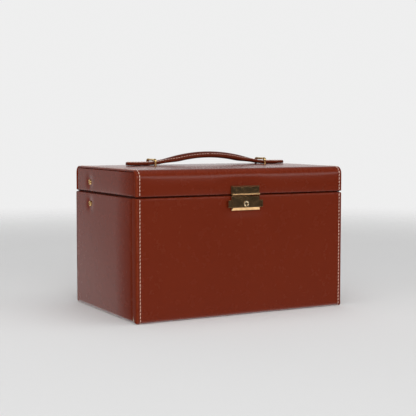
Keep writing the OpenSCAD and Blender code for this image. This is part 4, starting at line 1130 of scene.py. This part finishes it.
# Pale floor that fades into the backdrop away from the case
def makeFloor():
    half = studio["floorSize"] / 2
    steps = np.linspace(-half, half, 9)
    y, x = np.meshgrid(steps, steps, indexing="ij")
    mesh = bpy.data.meshes.new("floor")
    mesh.from_pydata(np.stack([x, y, 0 * x], -1).reshape(-1, 3).tolist(), [], gridQuads(9, 9).tolist())
    floor = placeMesh("floor", mesh)
    material = bpy.data.materials.new("floor")
    material.use_nodes = True
    tree = material.node_tree
    tree.nodes.remove(tree.nodes["Principled BSDF"])
    place = addNode(tree, "TexCoord").outputs["Object"]
    away = addNode(tree, "VectorMath", {0: place}, operation="LENGTH").outputs["Value"]
    low, high = studio["floorFade"]
    fade = addNode(tree, "MapRange", {"Value": away, "From Min": low, "From Max": high},
                   interpolation_type="SMOOTHSTEP").outputs[0]
    c = studio["floorColour"]
    solid = addNode(tree, "BsdfDiffuse", {"Color": (c, c, c, 1)}).outputs[0]
    clear = addNode(tree, "BsdfTransparent").outputs[0]
    mixed = addNode(tree, "MixShader", {0: fade, 1: solid, 2: clear}).outputs[0]
    tree.links.new(mixed, tree.nodes["Material Output"].inputs[0])
    mesh.materials.append(material)
    floor.visible_glossy = False


# Sky: plain pale grey to the camera; for light and reflections bright behind and overhead, dark at the front
# horizon, bright again underneath
def makeSky():
    world = bpy.data.worlds.new("studio")
    scene.world = world
    world.use_nodes = True
    tree = world.node_tree
    way = addNode(tree, "SeparateXYZ", {0: addNode(tree, "TexCoord").outputs["Generated"]}).outputs

    def fade(name):
        low, high, a, b = (*studio["where"][name], 0.0, 1.0)[:4]
        return addNode(tree, "MapRange", {"Value": way[name[-1]], "From Min": low, "From Max": high, "To Min": a,
                                          "To Max": b}, interpolation_type="SMOOTHSTEP").outputs[0]

    def both(first, second):
        return maths(tree, "MULTIPLY", first, second)

    def blendTo(value, target, mask):    # value + (target - value) * mask
        gap = maths(tree, "SUBTRACT", target, value)
        return maths(tree, "MULTIPLY_ADD", gap, mask, value)

    light = blendTo(studio["frontDark"], studio["backGlow"], both(fade("backY"), fade("backZ")))
    light = blendTo(light, studio["rightGlow"], both(both(fade("rightY"), fade("rightX")), fade("rightZ")))
    light = blendTo(light, studio["overhead"], fade("overheadZ"))
    light = blendTo(light, studio["strip"], both(both(fade("stripLowZ"), fade("stripHighZ")), fade("stripY")))
    light = blendTo(light, studio["underFront"], both(fade("underZ"), fade("underY")))
    light = blendTo(light, studio["floorGlow"], fade("floorZ"))
    strength = blendTo(light, studio["seen"], addNode(tree, "LightPath").outputs["Is Camera Ray"])
    tree.links.new(strength, tree.nodes["Background"].inputs["Strength"])
    tree.nodes["Background"].inputs["Color"].default_value = (1, 1, 1, 1)


lamps = {"overhead": {"at": (0.1, -0.2, 1.6), "size": 1.6, "power": 11},
         "frontFill": {"at": (-0.7, -1.7, 0.9), "size": 1.6, "power": 13.2},
         "sideFill": {"at": (-1.8, 0.1, 0.6), "size": 1.4, "power": 8.5}}
lampTarget = (0, 0, 0.09)


# Soft square lights aimed at the case; none is seen in reflections
def makeLamps():
    for name, spec in lamps.items():
        lamp = bpy.data.lights.new(name, "AREA")
        lamp.size, lamp.energy = spec["size"], spec["power"]
        holder = bpy.data.objects.new(name, lamp)
        holder.location = spec["at"]
        aim = Vector(lampTarget) - holder.location
        holder.rotation_mode = "QUATERNION"
        holder.rotation_quaternion = aim.to_track_quat("-Z", "Y")
        holder.visible_glossy = False
        scene.collection.objects.link(holder)


makeFloor()
makeSky()
makeLamps()
scene.view_settings.view_transform = "Standard"
print("floor and lights are made")
